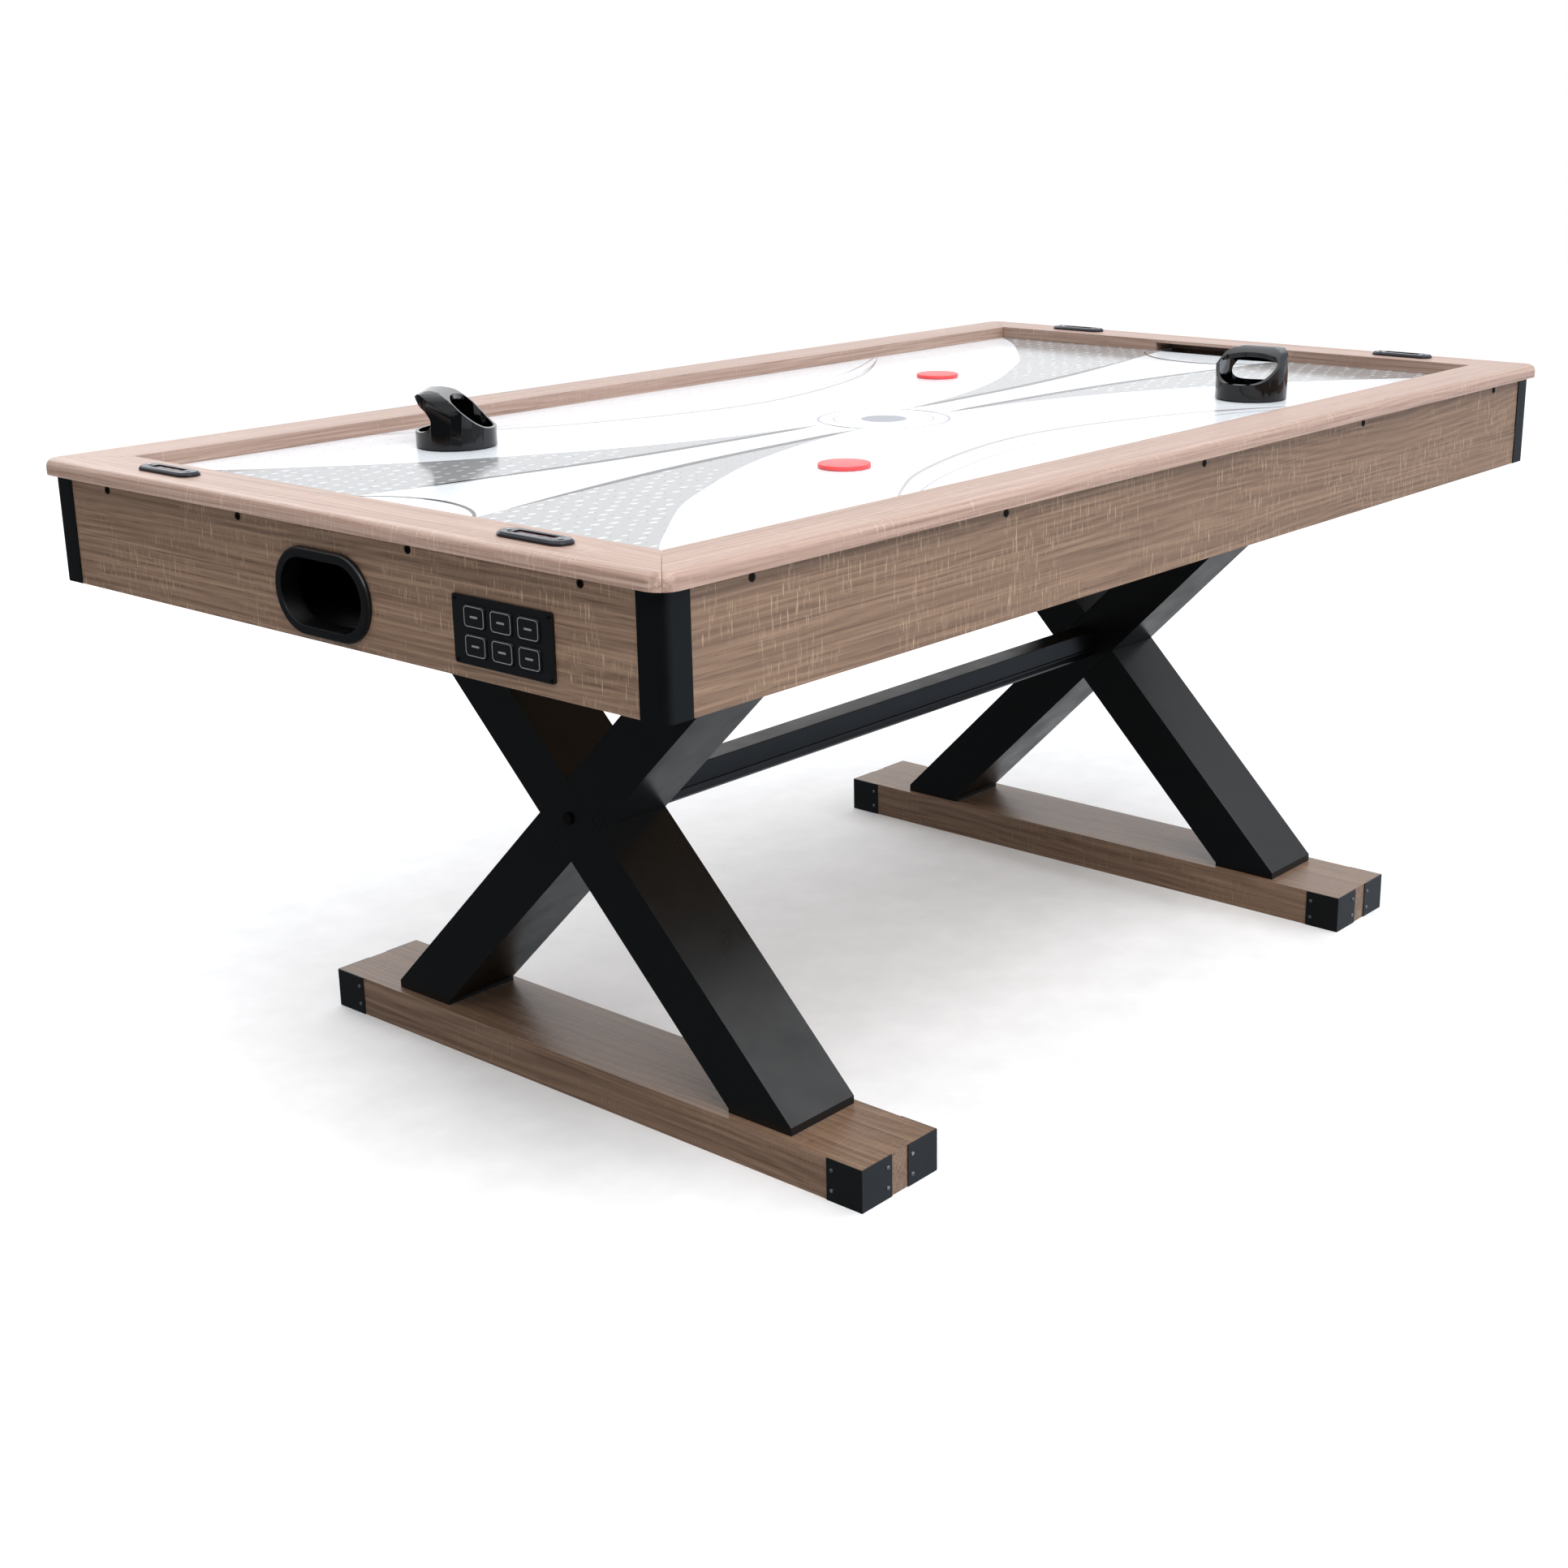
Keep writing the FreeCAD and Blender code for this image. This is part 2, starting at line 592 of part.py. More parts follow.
def beam_outline(low, high):
    """Corners of a 45 degree beam in the YZ plane between two levels, rising towards +Y."""
    half = BEAM_WIDTH / math.sqrt(2)
    return [(low - CROSS_Z - half, low), (high - CROSS_Z - half, high),
            (high - CROSS_Z + half, high), (low - CROSS_Z + half, low)]


def beam(points):
    front = -LEG_X - LEG_DEPTH / 2
    return prism([(front, y, z) for y, z in points], (LEG_DEPTH, 0, 0))


def full_beam():
    """Beam with its sharp toe cut upright and a low heel where it stands on the foot."""
    half = BEAM_WIDTH / math.sqrt(2)
    toe = FOOT_HEIGHT - CROSS_Z - half
    tip = beam([(toe, FOOT_HEIGHT), (toe + TOE_CUT, FOOT_HEIGHT), (toe + TOE_CUT, FOOT_HEIGHT + TOE_CUT)])
    heel = FOOT_HEIGHT - CROSS_Z + half
    block = beam([(heel, FOOT_HEIGHT), (heel + HEEL_RISE, FOOT_HEIGHT),
                  (heel + HEEL_RISE, FOOT_HEIGHT + HEEL_RISE)])
    return beam(beam_outline(FOOT_HEIGHT, LEG_TOP_Z)).cut(tip).fuse(block).removeSplitter()


def make_legs():
    bores = group(leg_bolt_shanks())
    whole = full_beam()
    halves = whole.mirror(Vec(0, 0, 0), Vec(0, 1, 0)).cut(whole).cut(bores).Solids
    upper = [s for s in halves if s.CenterOfMass.z > CROSS_Z][0]
    lower = [s for s in halves if s.CenterOfMass.z < CROSS_Z][0]
    half_width = MOUNT_BOARD_WIDTH / 2
    mount = box(-LEG_X - half_width, -LEG_X + half_width, -SIDE_INSIDE, SIDE_INSIDE,
                LEG_TOP_Z, LEG_TOP_Z + MOUNT_BOARD_THICK)
    for name, sign in ENDS.items():
        save(name + "_leg_full_beam", at_end(whole.cut(bores), sign))
        save(name + "_leg_upper_half_beam", at_end(upper, sign))
        save(name + "_leg_lower_half_beam", at_end(lower, sign))
        save(name + "_leg_mount_board", at_end(mount.cut(bores), sign))


def corner_angle(side_x, side_y):
    """Black L plate round one upright corner of a foot plank."""
    x = side_x * FOOT_WIDTH / 2
    y = side_y * FOOT_LENGTH / 2
    t = BRACKET_THICK
    outer = box(x + side_x * t, x - side_x * (BRACKET_LEG - t), y + side_y * t,
                y - side_y * (BRACKET_LEG - t), 0, FOOT_HEIGHT)
    plank = box(x, x - side_x * FOOT_WIDTH, y, y - side_y * FOOT_LENGTH, -CUT, FOOT_HEIGHT + CUT)
    return outer.cut(plank)


def bracket_screws(side_x, side_y):
    x = side_x * FOOT_WIDTH / 2
    y = side_y * FOOT_LENGTH / 2
    inset = BRACKET_LEG - 9
    screws = []
    for level in (FOOT_HEIGHT * 0.26, FOOT_HEIGHT * 0.74):
        for start, direction in (((x - side_x * inset, y, level), (0, side_y, 0)),
                                 ((x, y - side_y * inset, level), (side_x, 0, 0))):
            head = [start[k] + direction[k] * BRACKET_THICK for k in range(3)]
            screws.append(rod(2.6, head, direction, 1.2))
    return screws


def make_feet():
    screws = []
    brackets = []
    for name, sign in ENDS.items():
        centre = sign * FOOT_X
        plank = box(centre - FOOT_WIDTH / 2, centre + FOOT_WIDTH / 2, -FOOT_LENGTH / 2, FOOT_LENGTH / 2,
                    0, FOOT_HEIGHT)
        for shape in foot_bolt_recesses() + leg_bolt_shanks():
            plank = plank.cut(at_end(shape, sign))
        save(name + "_foot_plank", plank)
        for side_x in (-1, 1):
            for side_y in (-1, 1):
                brackets.append(placed(corner_angle(side_x, side_y), centre))
                screws += [placed(s, centre) for s in bracket_screws(side_x, side_y)]
    save("foot_corner_brackets", group(brackets))
    return screws


def make_stretcher():
    """Moulded beam between the two leg frames: flat upper band, bead, bevelled lower strip."""
    wide = STRETCHER_WIDTH / 2
    half = wide - 2
    top = STRETCHER_TOP
    bottom = top - STRETCHER_HEIGHT
    bead = top - STRETCHER_BEAD_DROP
    x = -LEG_X + LEG_DEPTH / 2
    right = [(half, top), (half, bead), (wide, bead), (wide, bead - STRETCHER_BEAD),
             (half, bead - STRETCHER_BEAD), (half, bottom + 5), (half - 5, bottom)]
    left = [(-y, z) for y, z in reversed(right)]
    bar = prism([(x, y, z) for y, z in right + left], (-2 * x, 0, 0))
    for sign in ENDS.values():
        bar = bar.cut(at_end(group(leg_bolt_shanks()), sign))
    save("stretcher", bar)


def leg_bolt_seats():
    """Head seat, direction from shank to head, and shank length of each bolt in the near leg frame."""
    front = -LEG_X - LEG_DEPTH / 2
    seats = [((front, 0, CROSS_BOLT_Z), (-1, 0, 0), LEG_DEPTH + 40)]
    for side in (-1, 1):
        for shift in (-BOLT_SPREAD, BOLT_SPREAD):
            top = (-LEG_X + shift, side * (LEG_TOP_Z - CROSS_Z), LEG_TOP_Z + MOUNT_BOARD_THICK)
            foot = (-LEG_X + shift, side * (CROSS_Z - FOOT_HEIGHT), BOLT_RECESS)
            seats.append((top, (0, 0, 1), MOUNT_BOARD_THICK + 30))
            seats.append((foot, (0, 0, -1), FOOT_HEIGHT - BOLT_RECESS + 30))
    return seats


def leg_bolt_shanks():
    return [rod(BOLT_RADIUS, seat, inward(out), length) for seat, out, length in leg_bolt_seats()]


def foot_bolt_recesses():
    """Counterbores under the near foot plank."""
    return [rod(9, seat, out, BOLT_RECESS + 1) for seat, out, length in leg_bolt_seats() if out[2] < 0]


def make_leg_bolts():
    bolts = []
    for seat, out, length in leg_bolt_seats():
        head = rod(7.5, seat, out, 3.5)
        bolts.append(head.fuse(rod(BOLT_RADIUS, seat, inward(out), length)))
    save("leg_bolts", group([at_end(bolt, sign) for sign in ENDS.values() for bolt in bolts]))


# Fasteners and inlet ---------------------------------------------------

def apron_screw_seats():
    """Start point and outward direction of each screw that holds an apron to the board's edge."""
    seats = []
    for sign in ENDS.values():
        seats += [((sign * END_FACE, y, APRON_SCREW_Z), (sign, 0, 0)) for y in END_SCREW_Y]
    for sign in SIDES.values():
        seats += [((x, sign * SIDE_FACE, APRON_SCREW_Z), (0, sign, 0)) for x in SIDE_SCREW_X]
    return seats


def apron_screw_bores():
    return [rod(APRON_SCREW_SHANK, start, inward(direction), APRON_SCREW_REACH)
            for start, direction in apron_screw_seats()]


def make_apron_screws():
    screws = []
    for start, direction in apron_screw_seats():
        head = rod(4.5, start, direction, 1.2)
        shank = rod(APRON_SCREW_SHANK, start, inward(direction), APRON_SCREW_REACH)
        screws.append(head.fuse(shank))
    save("apron_screws", group(screws))


def make_power_inlet():
    """Round low-voltage socket in the far apron."""
    def part(radius, start, end):
        return rod(radius, (END_FACE + start, INLET_Y, MOUTH_Z), (1, 0, 0), end - start)

    socket = part(INLET_RADIUS + 3, 0, 2.5).fuse(part(INLET_RADIUS, -APRON_THICK - 8, 0))
    socket = socket.cut(part(3.2, -8, 4)).fuse(part(1.0, -8.01, 0))
    save("power_inlet", socket.removeSplitter())


# Pushers and pucks -----------------------------------------------------

def curve_through(points):
    spline = Part.BSplineCurve()
    spline.interpolate([Vec(*p) for p in points])
    return spline.toShape()


def segment(start, end):
    return Part.makeLine(Vec(*start), Vec(*end))


def side_profile():
    """Pusher seen from its side: sloping mouth rim, tip, undercut finger grip and low back rim."""
    radius = PUSHER_RADIUS
    rim = [(x, -radius, z) for x, z in MOUTH_RIM]
    grip = [(x, -radius, z) for x, z in GRIP_CURVE]
    front = (-radius, -radius, 0)
    corner = (radius, -radius, 0)
    back = (radius, -radius, PUSHER_BACK_RIM)
    edges = [segment(front, rim[0]), curve_through(rim), curve_through(grip), segment(grip[-1], back),
             segment(back, corner), segment(corner, front)]
    return Part.Face(Part.Wire(edges)).extrude(Vec(0, 2 * radius, 0))


def shoulder_profile(inset):
    """Pusher seen from its front: upright walls that round over towards the bridge."""
    reach = PUSHER_RADIUS + 10
    half = PUSHER_RADIUS - inset + 0.6
    crown = PUSHER_HEIGHT - FELT_THICK - inset
    right = [(-reach, half - drop, z) for drop, z in SHOULDER_LOW]
    right += [(-reach, half - drop, crown - depth) for drop, depth in SHOULDER_HIGH]
    left = [(x, -y, z) for x, y, z in reversed(right)]
    edges = [curve_through(right), segment(right[-1], left[0]), curve_through(left)]
    low_left = (-reach, -half, -CUT)
    low_right = (-reach, half, -CUT)
    edges += [segment(left[-1], low_left), segment(low_left, low_right), segment(low_right, right[0])]
    return Part.Face(Part.Wire(edges)).extrude(Vec(2 * reach, 0, 0))


def pusher_cavity():
    """Hollow under the cap and open above the dish: the fingers go in here."""
    room = rod(PUSHER_RADIUS - PUSHER_WALL, (0, 0, DISH_FLOOR), (0, 0, 1), PUSHER_HEIGHT)
    reach = PUSHER_RADIUS + 10
    outline = [(-reach, DISH_FLOOR), (-reach, CAP_UNDERSIDE[0][1]), *CAP_UNDERSIDE,
               (reach, CAP_UNDERSIDE[-1][1]), (reach, DISH_FLOOR)]
    under = prism([(x, -reach, z) for x, z in outline], (0, 2 * reach, 0))
    above = rod(CAP_FRONT_RADIUS, (CAP_FRONT - CAP_FRONT_RADIUS, 0, DISH_FLOOR), (0, 0, 1), PUSHER_HEIGHT)
    return room.common(under.fuse(above)).common(shoulder_profile(PUSHER_WALL))


def side_scoop(side):
    """Tilted cylinder that takes a flat leaf out of one side wall for the thumb or a finger."""
    turn, tilt = math.radians(SCOOP_TURN), math.radians(SCOOP_TILT)
    along = Vec(math.cos(turn) * math.cos(tilt), -side * math.sin(turn) * math.cos(tilt), math.sin(tilt))
    distance = PUSHER_RADIUS + SCOOP_RADIUS - SCOOP_DEPTH
    middle = Vec(distance * math.sin(turn), side * distance * math.cos(turn), SCOOP_Z)
    return rod(SCOOP_RADIUS, middle - along * PUSHER_RADIUS, along, 2 * PUSHER_RADIUS)


def pusher_shell():
    """Round dish whose walls rise to a capped bridge: open sloping mouth, undercut finger grip."""
    block = rod(PUSHER_RADIUS, (0, 0, 0), (0, 0, 1), PUSHER_HEIGHT)
    block = block.common(side_profile()).common(shoulder_profile(0.0))
    return block.cut(pusher_cavity()).cut(side_scoop(1)).cut(side_scoop(-1))


def make_pushers():
    shell = pusher_shell()
    pad = rod(PUSHER_RADIUS - 3, (0, 0, 0), (0, 0, 1), FELT_THICK)
    for name, (x, y, turn) in (("near", NEAR_PUSHER), ("far", FAR_PUSHER)):
        floor = FIELD_Z + FLOAT_GAP
        save(name + "_pusher_shell", placed(shell, x, y, floor + FELT_THICK, turn))
        save(name + "_pusher_felt", placed(pad, x, y, floor))


def make_pucks():
    puck = rod(PUCK_RADIUS, (0, 0, 0), (0, 0, 1), PUCK_THICK)
    puck = puck.makeFillet(1.0, [e for e in puck.Edges if e.BoundBox.ZLength < 1e-3])
    for name, (x, y) in (("near", NEAR_PUCK), ("far", FAR_PUCK)):
        save(name + "_puck", placed(puck, x, y, FIELD_Z + FLOAT_GAP))


make_rails()
make_aprons()
make_posts()
make_playfield()
make_plenum()
make_blower_housing()
make_blower_motor_and_wheel()
make_returns()
make_buttons()
make_circuit_board()
save("small_screws", group(make_control_plate() + make_score_displays() + make_feet()))
make_legs()
make_stretcher()
make_leg_bolts()
make_apron_screws()
make_power_inlet()
make_pushers()
make_pucks()
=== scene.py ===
import bmesh
import bpy
import math
import random
from mathutils import Matrix, Vector


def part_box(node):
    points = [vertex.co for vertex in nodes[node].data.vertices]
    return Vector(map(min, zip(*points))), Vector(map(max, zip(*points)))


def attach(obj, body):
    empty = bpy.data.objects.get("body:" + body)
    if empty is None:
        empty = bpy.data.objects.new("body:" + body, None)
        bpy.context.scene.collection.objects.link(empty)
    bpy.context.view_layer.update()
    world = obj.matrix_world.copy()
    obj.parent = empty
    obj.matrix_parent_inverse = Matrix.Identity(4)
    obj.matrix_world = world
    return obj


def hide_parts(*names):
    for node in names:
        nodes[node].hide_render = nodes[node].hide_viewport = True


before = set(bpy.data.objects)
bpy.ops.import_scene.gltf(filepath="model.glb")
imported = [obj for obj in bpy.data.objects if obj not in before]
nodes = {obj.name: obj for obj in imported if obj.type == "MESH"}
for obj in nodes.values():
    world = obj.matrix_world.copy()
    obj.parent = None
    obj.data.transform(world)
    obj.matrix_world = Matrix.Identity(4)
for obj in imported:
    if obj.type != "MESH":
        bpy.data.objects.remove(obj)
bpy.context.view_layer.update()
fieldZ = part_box("playfield_board")[1].z
print("frame loaded:", len(nodes), "nodes")


# small helpers for node trees and pieces

def addNode(tree, kind, inputs=None, **settings):
    node = tree.nodes.new(kind)
    for key, value in settings.items():
        setattr(node, key, value)
    for key, value in (inputs or {}).items():
        if isinstance(value, bpy.types.NodeSocket):
            tree.links.new(value, node.inputs[key])
        else:
            node.inputs[key].default_value = value
    return node


def newMaterial(name, roughness=0.5, **sockets):
    material = bpy.data.materials.new(name)
    material.use_nodes = True
    shader = material.node_tree.nodes["Principled BSDF"]
    shader.inputs["Roughness"].default_value = roughness
    for socket, value in sockets.items():
        shader.inputs[socket.replace("_", " ")].default_value = value
    return material, material.node_tree, shader


def colour(rgb):
    # 0-255 screen values to the linear values that nodes use
    linear = [(c / 255 / 12.92) if c <= 10 else ((c / 255 + 0.055) / 1.055) ** 2.4 for c in rgb]
    return (*linear, 1.0)


def darker(rgb, share):
    return (*(c * share for c in colour(rgb)[:3]), 1.0)


def ramp(tree, factor, stops):
    node = addNode(tree, "ShaderNodeValToRGB", {"Fac": factor})
    node.color_ramp.elements.remove(node.color_ramp.elements[1])
    for index, (place, rgb) in enumerate(stops):
        element = node.color_ramp.elements[0] if index == 0 else node.color_ramp.elements.new(place)
        element.position = place
        element.color = rgb
    return node.outputs["Color"]


def stretched(tree, source, scale, offset=(0, 0, 0), turn=(0, 0, 0)):
    inputs = {"Vector": source, "Scale": scale, "Location": offset, "Rotation": turn}
    return addNode(tree, "ShaderNodeMapping", inputs).outputs["Vector"]


def noise(tree, source, scale=1.0, detail=3.0, roughness=0.5, distortion=0.0):
    inputs = {"Vector": source, "Scale": scale, "Detail": detail, "Roughness": roughness,
              "Distortion": distortion}
    return addNode(tree, "ShaderNodeTexNoise", inputs).outputs["Fac"]


def mathNode(tree, operation, *values, clamp=False):
    return addNode(tree, "ShaderNodeMath", dict(enumerate(values)), operation=operation,
                   use_clamp=clamp).outputs[0]


def span(tree, value, low, high, newLow=0.0, newHigh=1.0):
    inputs = {"Value": value, "From Min": low, "From Max": high, "To Min": newLow,
              "To Max": newHigh}
    return addNode(tree, "ShaderNodeMapRange", inputs).outputs["Result"]


def mixColour(tree, factor, first, second, blend="MIX"):
    node = addNode(tree, "ShaderNodeMix", data_type="RGBA", blend_type=blend)
    for index, value in ((0, factor), (6, first), (7, second)):
        if isinstance(value, bpy.types.NodeSocket):
            tree.links.new(value, node.inputs[index])
        else:
            node.inputs[index].default_value = value
    return node.outputs[2]


def bump(tree, shader, height, strength, distance):
    inputs = {"Height": height, "Strength": strength, "Distance": distance}
    node = addNode(tree, "ShaderNodeBump", inputs)
    tree.links.new(node.outputs["Normal"], shader.inputs["Normal"])


# finishes

grain = {"wander": (1.3, 9, 9), "streak": (3.4, 420, 420), "broad": (1.0, 58, 58),
         "pores": (26, 620, 620), "saw": (620, 42, 42), "sawPatch": (11, 15, 15),
         "streakShare": 0.66, "broadShare": 0.20, "bump": (0.35, 0.0004)}


def woodGrain(name, along, look):
    # laminate with oak grain along x or y, short pores and rough saw marks across the grain
    material, tree, shader = newMaterial(name, Specular_IOR_Level=look["specular"])
    place = addNode(tree, "ShaderNodeTexCoord").outputs["Object"]
    quarter = -math.pi / 2 if along == "y" else 0.0
    place = stretched(tree, place, (1, 1, 1), turn=(0, 0, quarter))
    wander = noise(tree, stretched(tree, place, grain["wander"], look["shift"]), detail=3.0)
    across = addNode(tree, "ShaderNodeVectorMath", {0: place, 1: (0, 1, 1)}, operation="DOT_PRODUCT")
    figure = mathNode(tree, "MULTIPLY_ADD", across.outputs["Value"], look["ringRate"],
                      mathNode(tree, "MULTIPLY", wander, look["ringBend"]))
    figure = span(tree, mathNode(tree, "SINE", figure), -1.0, 1.0)
    streak = noise(tree, stretched(tree, place, grain["streak"], look["shift"]), detail=5.0,
                   roughness=0.62)
    broad = noise(tree, stretched(tree, place, grain["broad"], look["shift"]), detail=3.0)
    tone = mathNode(tree, "ADD", mathNode(tree, "MULTIPLY", streak, grain["streakShare"]),
                    mathNode(tree, "MULTIPLY", broad, grain["broadShare"]))
    tone = mathNode(tree, "ADD", tone, mathNode(tree, "MULTIPLY", figure, look["figure"]))
    shade = ramp(tree, tone, look["colours"])
    pores = noise(tree, stretched(tree, place, grain["pores"]), detail=2.0)
    pores = span(tree, pores, 0.60, 0.74)
    inPore = mathNode(tree, "MULTIPLY", pores, look["pores"])
    shade = mixColour(tree, inPore, shade, look["poreColour"])
    saw = noise(tree, stretched(tree, place, grain["saw"]), detail=2.0, roughness=0.6)
    patch = span(tree, noise(tree, stretched(tree, place, grain["sawPatch"]), detail=2.0), 0.42, 0.52)
    saw = mathNode(tree, "MULTIPLY", span(tree, saw, 0.60, 0.68), patch)
    inSaw = mathNode(tree, "MULTIPLY", saw, look["saw"])
    shade = mixColour(tree, inSaw, shade, look["sawColour"])
    tree.links.new(shade, shader.inputs["Base Color"])
    tree.links.new(span(tree, streak, 0.3, 0.7, *look["roughness"]), shader.inputs["Roughness"])
    relief = mathNode(tree, "SUBTRACT", mathNode(tree, "MULTIPLY", streak, 0.5), pores)
    relief = mathNode(tree, "SUBTRACT", relief, mathNode(tree, "MULTIPLY", saw, 0.6))
    bump(tree, shader, relief, *grain["bump"])
    return material


def moulded(name, rgb, roughness, grainScale=900.0, relief=0.12, spread=0.06, **sockets):
    # plain plastic or paint: fine texture, slightly uneven gloss and tone
    material, tree, shader = newMaterial(name, **sockets)
    place = addNode(tree, "ShaderNodeTexCoord").outputs["Object"]
    fine = noise(tree, place, grainScale, detail=2.0)
    cloudy = noise(tree, place, 14.0, detail=4.0, roughness=0.6)
    shade = mixColour(tree, cloudy, darker(rgb, 0.82), colour(rgb))
    tree.links.new(shade, shader.inputs["Base Color"])
    rough = span(tree, cloudy, 0.3, 0.7, roughness - spread, roughness + spread)
    tree.links.new(rough, shader.inputs["Roughness"])
    bump(tree, shader, fine, relief, 0.0002)
    return material


def brushedMetal(name, rgb, roughness):
    material, tree, shader = newMaterial(name, Metallic=1.0)
    place = addNode(tree, "ShaderNodeTexCoord").outputs["Object"]
    fine = noise(tree, stretched(tree, place, (400, 2600, 900)), detail=3.0)
    shade = mixColour(tree, fine, darker(rgb, 0.7), colour(rgb))
    tree.links.new(shade, shader.inputs["Base Color"])
    rough = span(tree, fine, 0.3, 0.7, roughness - 0.08, roughness + 0.1)
    tree.links.new(rough, shader.inputs["Roughness"])
    bump(tree, shader, fine, 0.1, 0.0001)
    return material


def printed(name, rgb, roughness=0.13):
    # ink under the playfield's clear gloss: faint mottling and fine dots of the print
    material, tree, shader = newMaterial(name, Specular_IOR_Level=0.5)
    place = addNode(tree, "ShaderNodeTexCoord").outputs["Object"]
    mottle = noise(tree, place, 35.0, detail=5.0, roughness=0.65)
    speck = noise(tree, place, 1400.0, detail=1.0)
    blend = mathNode(tree, "ADD", mathNode(tree, "MULTIPLY", mottle, 0.7),
                     mathNode(tree, "MULTIPLY", speck, 0.3))
    shade = mixColour(tree, blend, darker(rgb, 0.93), colour(rgb))
    tree.links.new(shade, shader.inputs["Base Color"])
    rough = span(tree, mottle, 0.3, 0.7, roughness - 0.02, roughness + 0.03)
    tree.links.new(rough, shader.inputs["Roughness"])
    bump(tree, shader, noise(tree, place, 9.0, detail=2.0), 0.03, 0.001)
    return material


def felted(name, rgb):
    material, tree, shader = newMaterial(name, roughness=0.95, Sheen_Weight=0.5, Sheen_Roughness=0.6)
    place = addNode(tree, "ShaderNodeTexCoord").outputs["Object"]
    fibre = noise(tree, place, 1100.0, detail=5.0, roughness=0.8, distortion=1.5)
    shade = mixColour(tree, fibre, darker(rgb, 0.35), colour(rgb))
    tree.links.new(shade, shader.inputs["Base Color"])
    bump(tree, shader, fibre, 0.8, 0.0006)
    return material


def circuitLacquer(name):
    material, tree, shader = newMaterial(name, roughness=0.3)
    place = addNode(tree, "ShaderNodeTexCoord").outputs["Object"]
    inputs = {"Vector": stretched(tree, place, (260, 260, 260)), "Scale": 1.0, "Mortar Size": 0.06,
              "Color1": colour((18, 84, 44)), "Color2": colour((14, 70, 38)),
              "Mortar": colour((40, 128, 66))}
    tracks = addNode(tree, "ShaderNodeTexBrick", inputs)
    tree.links.new(tracks.outputs["Color"], shader.inputs["Base Color"])
    bump(tree, shader, tracks.outputs["Fac"], 0.3, 0.0001)
    return material


railLook = {"shift": (0.4, 1.1, 0.2), "ringRate": 760.0, "ringBend": 60.0, "figure": 0.07,
            "colours": ((0.28, colour((124, 98, 84))), (0.44, colour((154, 127, 113))),
                        (0.60, colour((174, 149, 136)))),
            "pores": 0.34, "poreColour": colour((88, 64, 52)), "saw": 0.34,
            "sawColour": colour((208, 190, 178)), "roughness": (0.34, 0.46), "specular": 0.5}
apronLook = {"shift": (2.3, 0.7, 0.1), "ringRate": 620.0, "ringBend": 70.0, "figure": 0.09,
             "colours": ((0.26, colour((84, 63, 49))), (0.44, colour((114, 90, 72))),
                         (0.62, colour((138, 112, 91)))),
             "pores": 0.45, "poreColour": colour((50, 38, 29)), "saw": 0.72,
             "sawColour": colour((172, 150, 124)), "roughness": (0.42, 0.56), "specular": 0.4}
footLook = dict(apronLook, shift=(5.1, 3.7, 1.9), saw=0.30, roughness=(0.26, 0.40), specular=0.5)
boardLook = dict(apronLook, shift=(7.7, 2.1, 0.4), figure=0.1, saw=0.0,
                 colours=((0.3, colour((140, 112, 84))), (0.5, colour((168, 138, 108))),
                          (0.7, colour((186, 158, 128)))))

